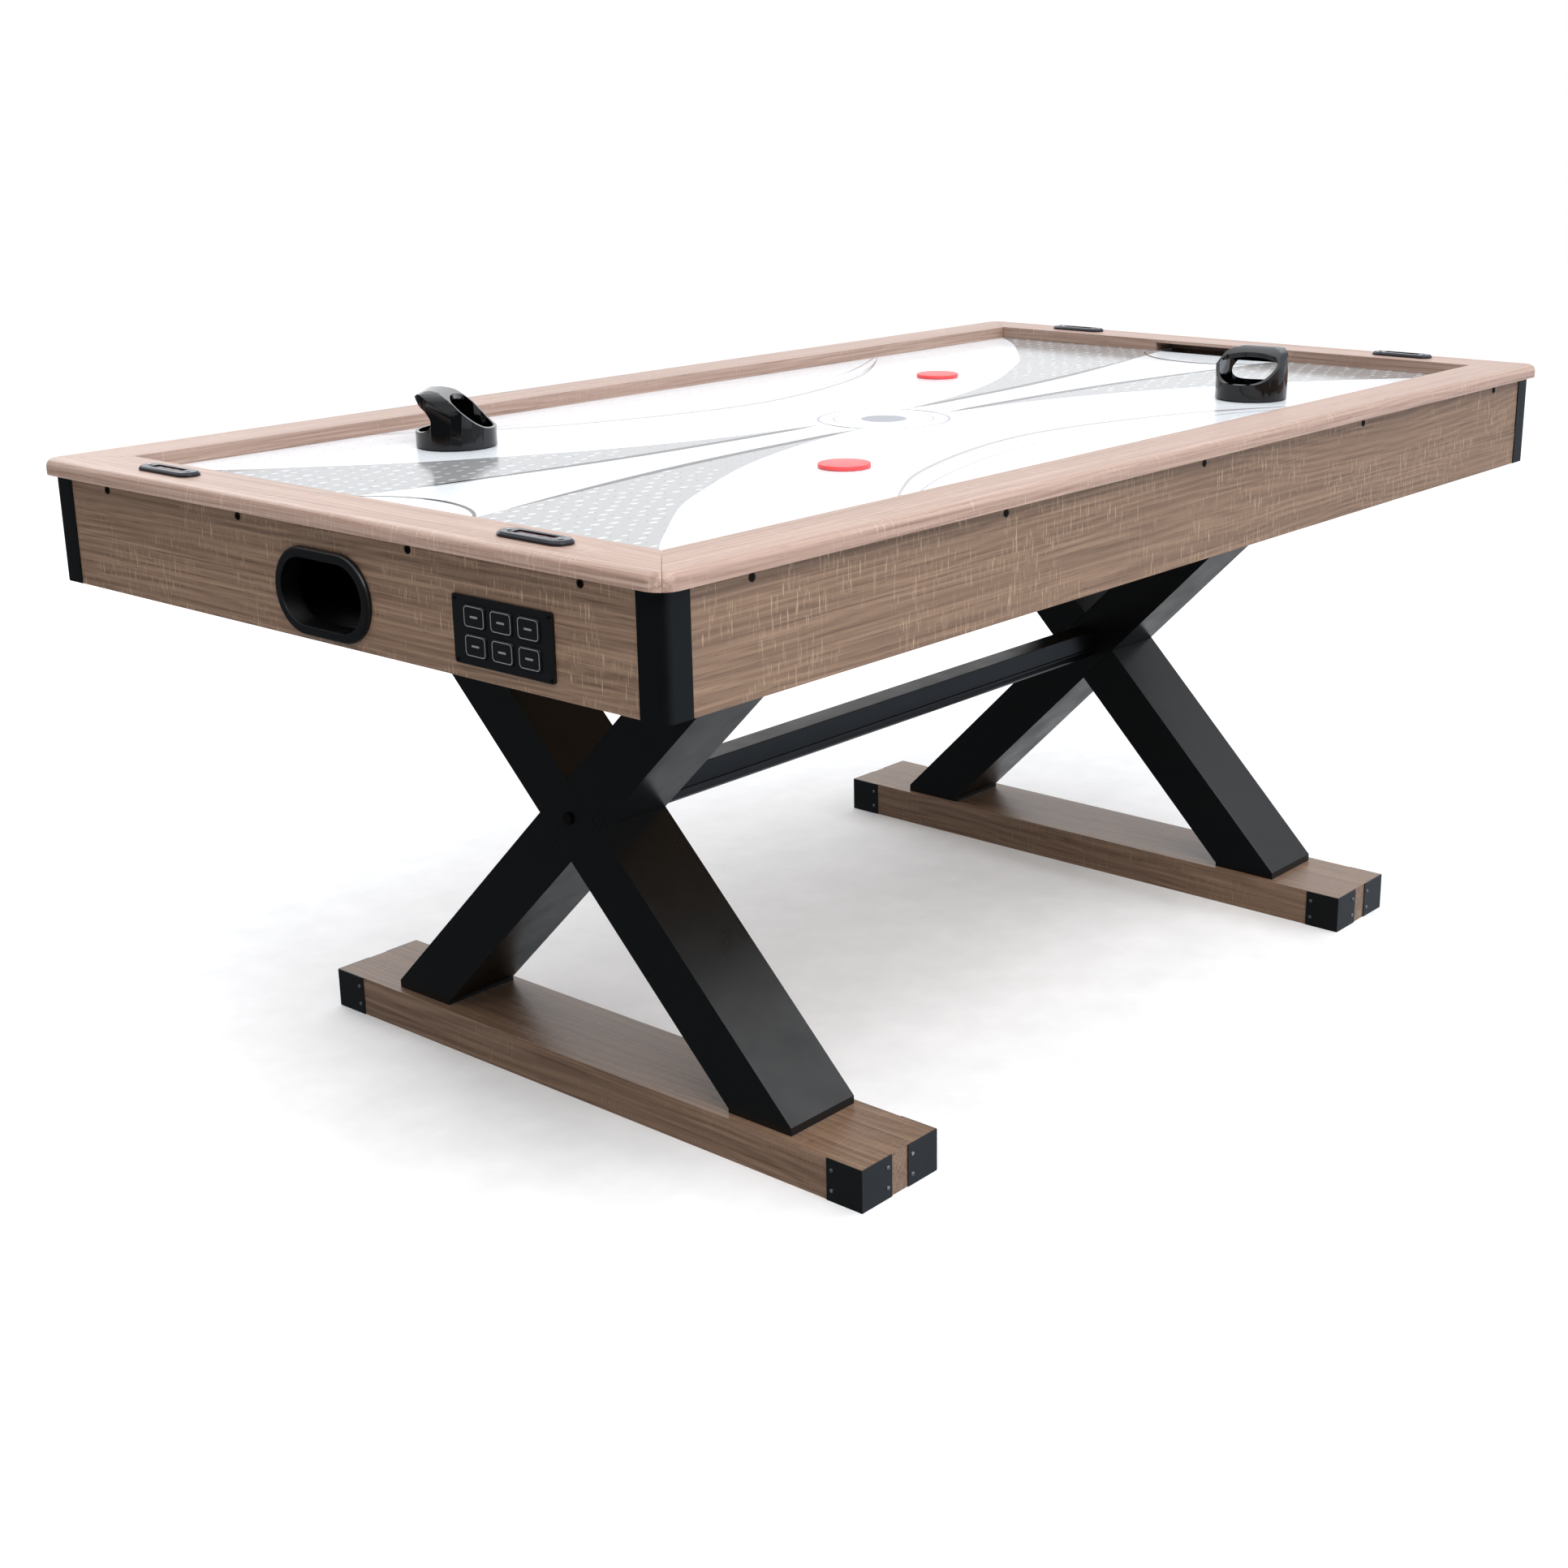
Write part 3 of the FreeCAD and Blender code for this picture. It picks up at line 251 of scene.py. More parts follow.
finish = {
    "railX": woodGrain("railOakAlongTable", "x", railLook),
    "railY": woodGrain("railOakAcrossTable", "y", railLook),
    "apronX": woodGrain("apronOakAlongTable", "x", apronLook),
    "apronY": woodGrain("apronOakAcrossTable", "y", apronLook),
    "foot": woodGrain("footOak", "y", footLook),
    "board": woodGrain("rawBoard", "x", boardLook),
    "beam": moulded("satinBlackPaint", (8, 9, 10), 0.32, grainScale=420.0, relief=0.10,
                    Specular_IOR_Level=0.32),
    "post": moulded("blackCornerPlastic", (8, 10, 11), 0.36, grainScale=1500.0, relief=0.2,
                    Specular_IOR_Level=0.2),
    "blackMetal": moulded("blackPowderCoat", (10, 10, 11), 0.42, grainScale=1300.0, relief=0.25),
    "blackPlastic": moulded("blackMouldedPlastic", (6, 6, 7), 0.30),
    "glossBlack": moulded("glossBlackPlastic", (4, 4, 5), 0.08, grainScale=60.0, relief=0.02,
                          spread=0.03, Coat_Weight=0.2, Coat_Roughness=0.04,
                          Specular_IOR_Level=0.4),
    "panel": moulded("panelFilm", (8, 8, 9), 0.36, grainScale=2200.0, relief=0.2),
    "button": moulded("buttonCap", (11, 11, 12), 0.34, grainScale=2200.0, relief=0.2),
    "outline": moulded("panelPrintGrey", (120, 122, 126), 0.5, grainScale=2200.0),
    "silver": moulded("bezelSilver", (54, 56, 61), 0.2, grainScale=500.0, spread=0.04,
                      Metallic=0.8),
    "display": moulded("displayWindow", (46, 8, 12), 0.08, grainScale=300.0, relief=0.02,
                       spread=0.02),
    "segment": moulded("unlitSegment", (84, 40, 42), 0.25),
    "steel": brushedMetal("zincPlate", (176, 177, 180), 0.3),
    "darkScrew": brushedMetal("blackZincPlate", (52, 46, 42), 0.42),
    "white": printed("playfieldWhite", (228, 232, 236)),
    "wedge": printed("playfieldGrey", (146, 146, 146)),
    "dash": printed("playfieldDash", (186, 190, 192)),
    "line": printed("playfieldLine", (34, 25, 22)),
    "shadow": printed("playfieldShadow", (198, 200, 202)),
    "arc": printed("playfieldArc", (188, 186, 189)),
    "arcDark": printed("playfieldArcDark", (150, 143, 144)),
    "ring": printed("playfieldRing", (138, 141, 150)),
    "disc": printed("playfieldDisc", (204, 208, 216)),
    "eye": printed("playfieldEye", (108, 109, 122)),
    # the air holes' dark colour is painted shade: flat discs stand in for the shaded insides of the
    # holes
    "hole": printed("airHolePaintedShade", (38, 38, 40), 0.6),
    "felt": felted("sliderFelt", (46, 46, 48)),
    "puck": moulded("coralPlastic", (246, 76, 78), 0.34, grainScale=160.0, relief=0.05,
                    Subsurface_Weight=0.12, Subsurface_Scale=0.004),
    "circuit": circuitLacquer("circuitLacquer"),
    "fan": moulded("fanPlastic", (62, 64, 68), 0.45),
}
print("finishes made:", len(finish))


# pieces from the frame: merged copies with softened edges

def put(mesh, name, body, slotName, *standsFor):
    piece = bpy.data.objects.new(name, mesh)
    bpy.context.scene.collection.objects.link(piece)
    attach(piece, body)
    if standsFor:
        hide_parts(*standsFor)
    return piece


def dress(nodeName, name, key, slotName, width=0.0008, sharp=32, segments=2, body="cabinet"):
    mesh = nodes[nodeName].data.copy()
    bm = bmesh.new()
    bm.from_mesh(mesh)
    bmesh.ops.remove_doubles(bm, verts=bm.verts, dist=0.00001)
    bmesh.ops.dissolve_limit(bm, angle_limit=math.radians(0.5), verts=bm.verts, edges=bm.edges)
    for face in bm.faces:
        face.smooth = True
        face.material_index = 0
    bm.to_mesh(mesh)
    bm.free()
    mesh.materials.clear()
    mesh.materials.append(finish[key])
    mesh.set_sharp_from_angle(angle=math.radians(sharp))
    piece = put(mesh, name, body, slotName, nodeName)
    if width:
        soften = piece.modifiers.new("softEdges", "BEVEL")
        soften.width = width
        soften.segments = segments
        soften.limit_method = "ANGLE"
        soften.angle_limit = math.radians(sharp)
        soften.harden_normals = True
        soften.miter_outer = "MITER_ARC"
    return piece


def keep(nodeName, key):
    # a node whose shape is right stays, with a better finish
    slots = nodes[nodeName].data.materials
    slots.clear()
    slots.append(finish[key])


ends = ("near", "far")
sides = ("left", "right")
for end in ends:
    dress(end + "_end_rail", end + "EndRail", "railY", "wood_rail", 0.0004)
    dress(end + "_end_apron", end + "EndApron", "apronY", "wood_apron", 0.0005)
    dress(end + "_foot_plank", end + "FootPlank", "foot", "wood_foot", 0.0012)
    for part, label in (("full_beam", "FullBeam"), ("upper_half_beam", "UpperHalfBeam"),
                        ("lower_half_beam", "LowerHalfBeam")):
        dress(end + "_leg_" + part, end + "Leg" + label, "beam", "black_beam", 0.0015)
    dress(end + "_leg_mount_board", end + "LegMountBoard", "beam", "black_beam", 0.0008)
    dress(end + "_return_ring", end + "ReturnRing", "blackPlastic", "black_plastic", 0.0006)
    keep(end + "_return_pocket", "blackPlastic")
    dress(end + "_puck", end + "Puck", "puck", "red_puck", 0, sharp=50, body=end + "_puck")
    dress(end + "_pusher_felt", end + "PusherFelt", "felt", "felt", 0.0003, body=end + "_pusher")
    dress(end + "_pusher_shell", end + "PusherShell", "glossBlack", "black_gloss", 0.0011, sharp=34,
          segments=3, body=end + "_pusher")
    for side in sides:
        corner = end + "_" + side
        label = end + side.capitalize()
        dress(corner + "_corner_post", label + "CornerPost", "post", "black_plastic", 0.0005)
        dress(corner + "_score_bezel", label + "ScoreBezel", "silver", "silver_bezel", 0.0003)
        dress(corner + "_score_display", label + "ScoreDisplay", "display", "display_red", 0.0002)
for side in sides:
    dress(side + "_side_rail", side + "SideRail", "railX", "wood_rail", 0.0004)
    dress(side + "_side_apron", side + "SideApron", "apronX", "wood_apron", 0.0005)
for number in range(1, 7):
    node = "control_button_%d" % number
    dress(node, "controlButton%d" % number, "button", "button_black", 0.0002, body=node)
dress("control_plate", "controlPlate", "panel", "panel_black", 0.0004)
dress("stretcher", "stretcherBar", "beam", "black_beam", 0.0008)
dress("foot_corner_brackets", "footCornerBrackets", "blackMetal", "black_metal", 0.0004)
dress("blower_housing", "blowerHousing", "blackPlastic", "black_plastic", 0.0006)
dress("power_inlet", "powerInlet", "blackPlastic", "black_plastic", 0.0003)
dress("leg_bolts", "legBolts", "darkScrew", "steel", 0.0004)
keep("playfield_board", "white")
keep("plenum_battens", "board")
keep("plenum_floor", "board")
keep("blower_motor", "steel")
keep("blower_impeller", "fan")
keep("control_circuit_board", "circuit")
print("frame pieces dressed")


# playfield print, point-symmetric about the table's centre; u runs from the centre to an end, v across

artwork = {
    "outerEdge": ((0.000, 0.030), (0.088, 0.034), (0.200, 0.050), (0.300, 0.076), (0.400, 0.113),
                  (0.500, 0.163), (0.600, 0.219), (0.700, 0.297), (0.770, 0.356), (0.838, 0.428)),
    "innerEdge": ((0.000, 0.029), (0.088, 0.030), (0.200, 0.0345), (0.300, 0.038), (0.400, 0.0445),
                  (0.500, 0.055), (0.600, 0.069), (0.700, 0.085), (0.780, 0.098), (0.838, 0.110)),
    "lineWidth": ((0.000, 0.000), (0.105, 0.0008), (0.150, 0.0095), (0.300, 0.0112), (0.500, 0.0110),
                  (0.640, 0.0066), (0.730, 0.0008), (0.838, 0.0)),
    "arcInner": ((0.000, 0.224), (0.100, 0.234), (0.210, 0.261), (0.310, 0.298), (0.380, 0.339),
                 (0.442, 0.382), (0.500, 0.4262)),
    "arcOuter": ((0.000, 0.254), (0.100, 0.263), (0.210, 0.285), (0.310, 0.315), (0.380, 0.348),
                 (0.442, 0.3855), (0.500, 0.4268)),
    "hairline": ((0.000, 0.277), (0.100, 0.283), (0.185, 0.297), (0.300, 0.331), (0.410, 0.380),
                 (0.490, 0.4245)),
    "crease": {"centre": 0.885, "radius": 0.143, "halfAngle": 68.0, "width": 0.0065},
    "ringOuter": (0.0845, 0.0885), "ringInner": (0.0650, 0.0672), "eyeRadius": 0.030,
    "discHole": 0.0005, "thinnest": 0.0004,
    "arcReach": 0.4995, "hairReach": 0.489, "hairWidth": 0.0024,
    "spineWidth": 0.0065, "spineTip": 0.0003,
    "shadeFrom": 0.12, "shadeTo": 0.72, "shadeReach": 0.6,
    "shadeGap": 0.004, "shadeWidth": 0.012,
    "accent": (0.0868, 0.0052, 158, 46), "centreArc": (0.118, 0.0030, 166, 28),
    "layer": 0.00004,
}


def follow(points, u):
    # smooth curve through (u, v) points, read at u
    last = len(points) - 1
    k = max(i for i in range(last) if points[i][0] <= max(u, points[0][0]))
    (u0, v0), (u1, v1) = points[k], points[k + 1]

    def slope(i):
        low, high = points[max(i - 1, 0)], points[min(i + 1, last)]
        return (high[1] - low[1]) / (high[0] - low[0])

    first = 0.0 if k == 0 else slope(k)
    step = u1 - u0
    t = (u - u0) / step
    return ((2 * t ** 3 - 3 * t ** 2 + 1) * v0 + (t ** 3 - 2 * t ** 2 + t) * step * first
            + (3 * t ** 2 - 2 * t ** 3) * v1 + (t ** 3 - t ** 2) * step * slope(k + 1))


def steps(start, end, count):
    return [start + (end - start) * k / count for k in range(count + 1)]


def ribbon(bm, left, right, low, high, closed=False):
    # thin closed strip between two rows of (x, y) points
    rows = []
    for (x0, y0), (x1, y1) in zip(left, right):
        corners = ((x0, y0, high), (x1, y1, high), (x1, y1, low), (x0, y0, low))
        rows.append([bm.verts.new(c) for c in corners])
    pairs = list(zip(rows, rows[1:]))
    if closed:
        pairs.append((rows[-1], rows[0]))
    else:
        bm.faces.new(rows[0])
        bm.faces.new(rows[-1])
    for a, b in pairs:
        for k in range(4):
            bm.faces.new((a[k], a[(k + 1) % 4], b[(k + 1) % 4], b[k]))


def meshOf(bm, name, material):
    bmesh.ops.recalc_face_normals(bm, faces=bm.faces)
    mesh = bpy.data.meshes.new(name)
    bm.to_mesh(mesh)
    bm.free()
    mesh.materials.append(material)
    return mesh


def printLayer(name, key, level, rowPairs, closed=False):
    bm = bmesh.new()
    low = fieldZ - artwork["layer"]
    high = fieldZ + artwork["layer"] * level
    for left, right in rowPairs:
        ribbon(bm, left, right, low, high, closed)
    return put(meshOf(bm, name, finish[key]), name, "cabinet", "white_field")


quarters = [(sx, sy) for sx in (-1, 1) for sy in (-1, 1)]
halves = [(1, sy) for sy in (-1, 1)]


def between(lowCurve, highCurve, stops, signs):
    sx, sy = signs
    return ([(sx * u, sy * lowCurve(u)) for u in stops], [(sx * u, sy * highCurve(u)) for u in stops])


def outerEdge(u):
    return follow(artwork["outerEdge"], u)


def innerEdge(u):
    return follow(artwork["innerEdge"], u)


def halfLine(u):
    return max(follow(artwork["lineWidth"], u), artwork["thinnest"]) / 2


def annulus(inner, outer, count=96):
    angles = [math.radians(360.0 * k / count) for k in range(count)]
    return ([(inner * math.cos(a), inner * math.sin(a)) for a in angles],
            [(outer * math.cos(a), outer * math.sin(a)) for a in angles])


def taperedArc(radius, width, start, sweep, centre=0.0, sign=1, count=40):
    left, right = [], []
    for k in range(count + 1):
        angle = math.radians(start + sweep * k / count)
        half = max(width * math.sin(math.pi * k / count), 0.0003) / 2
        for row, r in ((left, radius - half), (right, radius + half)):
            row.append((sign * (centre + r * math.cos(angle)), sign * r * math.sin(angle)))
    return left, right


wedgeStops = steps(0.088, 0.838, 90)
lineStops = steps(0.105, 0.725, 80)
shadeStops = steps(artwork["shadeFrom"], artwork["shadeTo"], 70)
arcStops = steps(-artwork["arcReach"], artwork["arcReach"], 120)
hairStops = steps(-artwork["hairReach"], artwork["hairReach"], 120)


def shadeEdge(u):
    # the pale shadow is widest halfway along its wedge
    swell = math.sin(math.pi * (u - artwork["shadeFrom"]) / artwork["shadeReach"]) ** 0.6
    return innerEdge(u) - artwork["shadeGap"] - artwork["shadeWidth"] * swell


def arcSpine(u):
    return follow(artwork["arcInner"], abs(u))


def spineEdge(u):
    taper = 1 - (abs(u) / artwork["arcReach"]) ** 3
    return arcSpine(u) + artwork["spineWidth"] * taper + artwork["spineTip"]


def arcEdge(u):
    return follow(artwork["arcOuter"], abs(u))


def hairline(u):
    return follow(artwork["hairline"], abs(u))


printLayer("printWedges", "wedge", 1, [between(innerEdge, outerEdge, wedgeStops, s) for s in quarters])
printLayer("printShadows", "shadow", 2, [between(shadeEdge, innerEdge, shadeStops[1:-1], s)
                                         for s in quarters])
printLayer("printLines", "line", 3, [
    between(lambda u: innerEdge(u) - halfLine(u), lambda u: innerEdge(u) + halfLine(u), lineStops, s)
    for s in quarters])
printLayer("printArcs", "arc", 1, [between(arcSpine, arcEdge, arcStops, s) for s in halves])
printLayer("printArcSpines", "arcDark", 2, [between(arcSpine, spineEdge, arcStops, s) for s in halves])
printLayer("printHairlines", "ring", 1, [
    between(hairline, lambda u: hairline(u) + artwork["hairWidth"], hairStops, s) for s in halves])
crease = artwork["crease"]
printLayer("printCreases", "line", 3, [
    taperedArc(crease["radius"], crease["width"], 180 - crease["halfAngle"], 2 * crease["halfAngle"],
               crease["centre"], sign) for sign in (-1, 1)])
printLayer("printDisc", "disc", 1, [annulus(artwork["discHole"], artwork["ringInner"][0])], closed=True)
printLayer("printRings", "ring", 2, [annulus(*artwork["ringOuter"]), annulus(*artwork["ringInner"])],
           closed=True)
printLayer("printEye", "eye", 2, [annulus(artwork["discHole"], artwork["eyeRadius"])], closed=True)
printLayer("printRingAccents", "line", 4, [taperedArc(*artwork["accent"], sign=s) for s in (-1, 1)])
printLayer("printCentreArcs", "ring", 2, [taperedArc(*artwork["centreArc"], sign=s) for s in (-1, 1)])
print("playfield print laid")


# repeated pieces, made with geometry nodes

def newTree(name, sockets):
    tree = bpy.data.node_groups.new(name, "GeometryNodeTree")
    tree.interface.new_socket("Geometry", in_out="INPUT", socket_type="NodeSocketGeometry")
    for label, kind, value in sockets:
        socket = tree.interface.new_socket(label, in_out="INPUT", socket_type=kind)
        if value is not None:
            socket.default_value = value
    tree.interface.new_socket("Geometry", in_out="OUTPUT", socket_type="NodeSocketGeometry")
    return tree, tree.nodes.new("NodeGroupInput").outputs, tree.nodes.new("NodeGroupOutput")


def finishTree(tree, geometry, group, output):
    solid = addNode(tree, "GeometryNodeRealizeInstances", {0: geometry}).outputs[0]
    painted = addNode(tree, "GeometryNodeSetMaterial", {"Geometry": solid, "Material": group["Finish"]})
    tree.links.new(painted.outputs["Geometry"], output.inputs[0])
    return tree


def grow(name, points, facings, tree, values, body, slotName, *standsFor):
    # points become the tree's geometry; the result is a plain mesh
    source = bpy.data.meshes.new(name + "Points")
    source.from_pydata([tuple(p) for p in points], [], [])
    facing = source.attributes.new("facing", "FLOAT_VECTOR", "POINT")
    for item, direction in zip(facing.data, facings):
        item.vector = direction
    holder = bpy.data.objects.new(name + "Source", source)
    bpy.context.scene.collection.objects.link(holder)
    modifier = holder.modifiers.new("grow", "NODES")
    modifier.node_group = tree
    for socket in tree.interface.items_tree:
        if socket.in_out == "INPUT" and socket.name in values:
            modifier[socket.identifier] = values[socket.name]
    graph = bpy.context.evaluated_depsgraph_get()
    mesh = bpy.data.meshes.new_from_object(holder.evaluated_get(graph))
    mesh.name = name
    holder.modifiers.clear()
    bpy.data.objects.remove(holder)
    return put(mesh, name, body, slotName, *standsFor)


def screwTree():
    # low domed head with a cross recess
    tree, group, output = newTree("screwHeads", (
        ("Head Radius", "NodeSocketFloat", 0.0025), ("Head Height", "NodeSocketFloat", 0.001),
        ("Recess Width", "NodeSocketFloat", 0.0007), ("Seed", "NodeSocketInt", 3),
        ("Finish", "NodeSocketMaterial", None)))
    height = group["Head Height"]
    radius = group["Head Radius"]
    skirt = addNode(tree, "GeometryNodeMeshCylinder", {
        "Vertices": 20, "Radius": radius, "Depth": mathNode(tree, "MULTIPLY", height, 0.55)})
    skirt = lifted(tree, skirt.outputs["Mesh"], mathNode(tree, "MULTIPLY", height, 0.275))
    crown = addNode(tree, "GeometryNodeMeshCone", {
        "Vertices": 20, "Radius Top": mathNode(tree, "MULTIPLY", radius, 0.62), "Radius Bottom": radius,
        "Depth": mathNode(tree, "MULTIPLY", height, 0.45)})
    crown = lifted(tree, crown.outputs["Mesh"], mathNode(tree, "MULTIPLY", height, 0.55))
    body = addNode(tree, "GeometryNodeMeshBoolean", operation="UNION")
    tree.links.new(skirt, body.inputs["Mesh 2"])
    tree.links.new(crown, body.inputs["Mesh 2"])
    cuts = []
    long = mathNode(tree, "MULTIPLY", radius, 1.05)
    narrow = group["Recess Width"]
    for across, along in ((long, narrow), (narrow, long)):
        size = addNode(tree, "ShaderNodeCombineXYZ", {"X": across, "Y": along, "Z": height})
        bar = addNode(tree, "GeometryNodeMeshCube", {"Size": size.outputs[0]})
        cuts.append(lifted(tree, bar.outputs["Mesh"], mathNode(tree, "MULTIPLY", height, 1.05)))
    head = addNode(tree, "GeometryNodeMeshBoolean", {"Mesh 1": body.outputs["Mesh"]},
                   operation="DIFFERENCE")
    for cut in cuts:
        tree.links.new(cut, head.inputs["Mesh 2"])
    facing = addNode(tree, "GeometryNodeInputNamedAttribute", {"Name": "facing"},
                     data_type="FLOAT_VECTOR")
    aim = addNode(tree, "FunctionNodeAlignRotationToVector",
                  {"Vector": facing.outputs["Attribute"]}, axis="Z")
    heads = addNode(tree, "GeometryNodeInstanceOnPoints", {
        "Points": group["Geometry"], "Instance": head.outputs["Mesh"],
        "Rotation": aim.outputs["Rotation"]})
    twist = addNode(tree, "FunctionNodeRandomValue", {2: 0.0, 3: 1.57, "Seed": group["Seed"]})
    spin = addNode(tree, "ShaderNodeCombineXYZ", {"Z": twist.outputs[1]})
    turned = addNode(tree, "GeometryNodeRotateInstances", {
        "Instances": heads.outputs["Instances"], "Rotation": spin.outputs[0]})
    return finishTree(tree, turned.outputs["Instances"], group, output)


def lifted(tree, mesh, height):
    offset = addNode(tree, "ShaderNodeCombineXYZ", {"Z": height})
    return addNode(tree, "GeometryNodeTransform", {
        "Geometry": mesh, "Translation": offset.outputs[0]}).outputs["Geometry"]


def spotTree():
    # flat printed spots, or flat dark discs of painted shade standing in for drilled holes, lying
    # level, each a little different in size
    tree, group, output = newTree("levelSpots", (
        ("Length", "NodeSocketFloat", 0.009), ("Width", "NodeSocketFloat", 0.006),
        ("Thickness", "NodeSocketFloat", 0.00006), ("Smallest", "NodeSocketFloat", 0.7),
        ("Seed", "NodeSocketInt", 5), ("Finish", "NodeSocketMaterial", None)))
    spot = addNode(tree, "GeometryNodeMeshCylinder", {"Vertices": 10, "Radius": 0.5, "Depth": 1.0})
    size = addNode(tree, "ShaderNodeCombineXYZ", {
        "X": group["Length"], "Y": group["Width"], "Z": group["Thickness"]})
    scale = addNode(tree, "FunctionNodeRandomValue", {
        2: group["Smallest"], 3: 1.0, "Seed": group["Seed"]})
    spots = addNode(tree, "GeometryNodeInstanceOnPoints", {
        "Points": group["Geometry"], "Instance": spot.outputs["Mesh"]})
    sized = addNode(tree, "GeometryNodeScaleInstances", {
        "Instances": spots.outputs["Instances"], "Scale": size.outputs[0]})
    varied = addNode(tree, "ShaderNodeCombineXYZ", {
        "X": scale.outputs[1], "Y": scale.outputs[1], "Z": 1.0})
    final = addNode(tree, "GeometryNodeScaleInstances", {
        "Instances": sized.outputs["Instances"], "Scale": varied.outputs[0]})
    return finishTree(tree, final.outputs["Instances"], group, output)


def islands(nodeName):
    # lowest and highest corner of each separate solid of a node
    bm = bmesh.new()
    bm.from_mesh(nodes[nodeName].data)
    bmesh.ops.remove_doubles(bm, verts=bm.verts, dist=0.00001)
    seen = set()
    boxes = []
    for start in bm.verts:
        if start in seen:
            continue
        seen.add(start)
        stack, found = [start], []
        while stack:
            vert = stack.pop()
            found.append(vert.co.copy())
            for edge in vert.link_edges:
                other = edge.other_vert(vert)
                if other not in seen:
                    seen.add(other)
                    stack.append(other)
        low = Vector(min(v[k] for v in found) for k in range(3))
        high = Vector(max(v[k] for v in found) for k in range(3))
        boxes.append((low, high))
    bm.free()
    return boxes


heads = screwTree()
spots = spotTree()

# air holes, drawn as flat dark discs of painted shade, and printed dashes of the playfield
airHoles = {"pitch": 0.0254, "radius": 0.0006, "columns": 32, "rows": 16, "lift": 0.00011,
            "thickness": 0.0001, "seed": 1}
holePoints = [(column * airHoles["pitch"], row * airHoles["pitch"], fieldZ + airHoles["lift"])
              for column in range(-airHoles["columns"], airHoles["columns"] + 1)
              for row in range(-airHoles["rows"], airHoles["rows"] + 1)]
grow("airHoles", holePoints, [(0, 0, 1)] * len(holePoints), spots,
     {"Length": 2 * airHoles["radius"], "Width": 2 * airHoles["radius"],
      "Thickness": airHoles["thickness"], "Smallest": 0.95, "Seed": airHoles["seed"],
      "Finish": finish["hole"]}, "cabinet", "white_field")

dashes = {"pitch": 0.0235, "length": 0.0135, "width": 0.0078, "thickness": 0.00006, "lift": 0.00005,
          "first": 0.832, "last": 0.40, "rim": 0.424, "margin": 0.006, "jitter": 0.12,
          "columnStep": 0.87, "dense": 1.25, "thinning": 0.5, "outer": 0.838, "reach": 0.4,
          "smallest": 0.55, "seed": 11, "sizeSeed": 7}
rng = random.Random(dashes["seed"])
dashPoints = []
for sx, sy in quarters:
    column = 0
    u = dashes["first"]
    while u > dashes["last"]:
        v = innerEdge(u) + dashes["margin"] + (dashes["pitch"] / 2 if column % 2 else 0.0)
        while v < min(outerEdge(u) - dashes["margin"], dashes["rim"]):
            # the print thins out towards the centre
            thin = dashes["thinning"] * (dashes["outer"] - u) / dashes["reach"]
            if rng.random() < dashes["dense"] - thin:
                jitter = dashes["pitch"] * dashes["jitter"]
                dashPoints.append((sx * (u + rng.uniform(-jitter, jitter)),
                                   sy * (v + rng.uniform(-jitter, jitter)), fieldZ + dashes["lift"]))
            v += dashes["pitch"]
        u -= dashes["pitch"] * dashes["columnStep"]
        column += 1
grow("printDashes", dashPoints, [(0, 0, 1)] * len(dashPoints), spots,
     {"Length": dashes["length"], "Width": dashes["width"], "Thickness": dashes["thickness"],
      "Smallest": dashes["smallest"], "Seed": dashes["sizeSeed"], "Finish": finish["dash"]},
     "cabinet", "white_field")


# small screws by height: feet, control panel, score displays; their heads stand for the whole screws
screws = {
    "bracket": {"node": "small_screws", "finish": "steel", "slot": "steel",
                "radius": 0.0026, "height": 0.0012, "recess": 0.0007, "seed": 2},
    "panel": {"node": "small_screws", "finish": "darkScrew", "slot": "steel",
              "radius": 0.0022, "height": 0.0010, "recess": 0.0006, "seed": 3},
    "score": {"node": "small_screws", "finish": "steel", "slot": "steel",
              "radius": 0.0024, "height": 0.0010, "recess": 0.0006, "seed": 4},
    "apron": {"node": "apron_screws", "finish": "darkScrew", "slot": "black_metal",
              "radius": 0.0045, "height": 0.0012, "recess": 0.0011, "seed": 5},
}


def headsOf(kind, pick=lambda middle: True):
    # each screw's head stands on the outer end of its solid
    screw = screws[kind]
    footLow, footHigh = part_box("far_foot_plank")
    footX = (footLow.x + footHigh.x) / 2
    points, facings = [], []
    for low, high in islands(screw["node"]):
        middle, size = (low + high) / 2, high - low
        if not pick(middle):
            continue
        centre = Vector((math.copysign(footX, middle.x) if middle.z < footHigh.z else 0.0, 0.0, 0.0))
        axis = min(range(3), key=lambda k: abs(size[k - 1] - size[k - 2]))
        facing = Vector((0.0, 0.0, 0.0))
        facing[axis] = math.copysign(1.0, middle[axis] - centre[axis])
        tip = middle.copy()
        tip[axis] = high[axis] if facing[axis] > 0 else low[axis]
        points.append(tip - facing * screw["height"])
        facings.append(facing)
    return grow(kind + "ScrewHeads", points, facings, heads, {
        "Head Radius": screw["radius"], "Head Height": screw["height"],
        "Recess Width": screw["recess"], "Seed": screw["seed"],
        "Finish": finish[screw["finish"]]}, "cabinet", screw["slot"])


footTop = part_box("near_foot_plank")[1].z
bracketHeads = headsOf("bracket", lambda middle: middle.z < footTop)
headsOf("panel", lambda middle: footTop < middle.z < fieldZ)
headsOf("score", lambda middle: middle.z > fieldZ)
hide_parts("small_screws")
apronHeads = headsOf("apron")
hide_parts("apron_screws")
print("screws, air holes and dashes grown")


# control panel print: an outline and a short bar on each button

panelPrint = {"capEdge": 0.0016, "inset": 0.0012, "line": 0.0009, "corner": 0.0042,
              "barLength": 0.011, "barHeight": 0.0021, "barCorner": 0.4, "barHeart": 0.02,
              "lift": 0.00008, "depth": 0.0001}


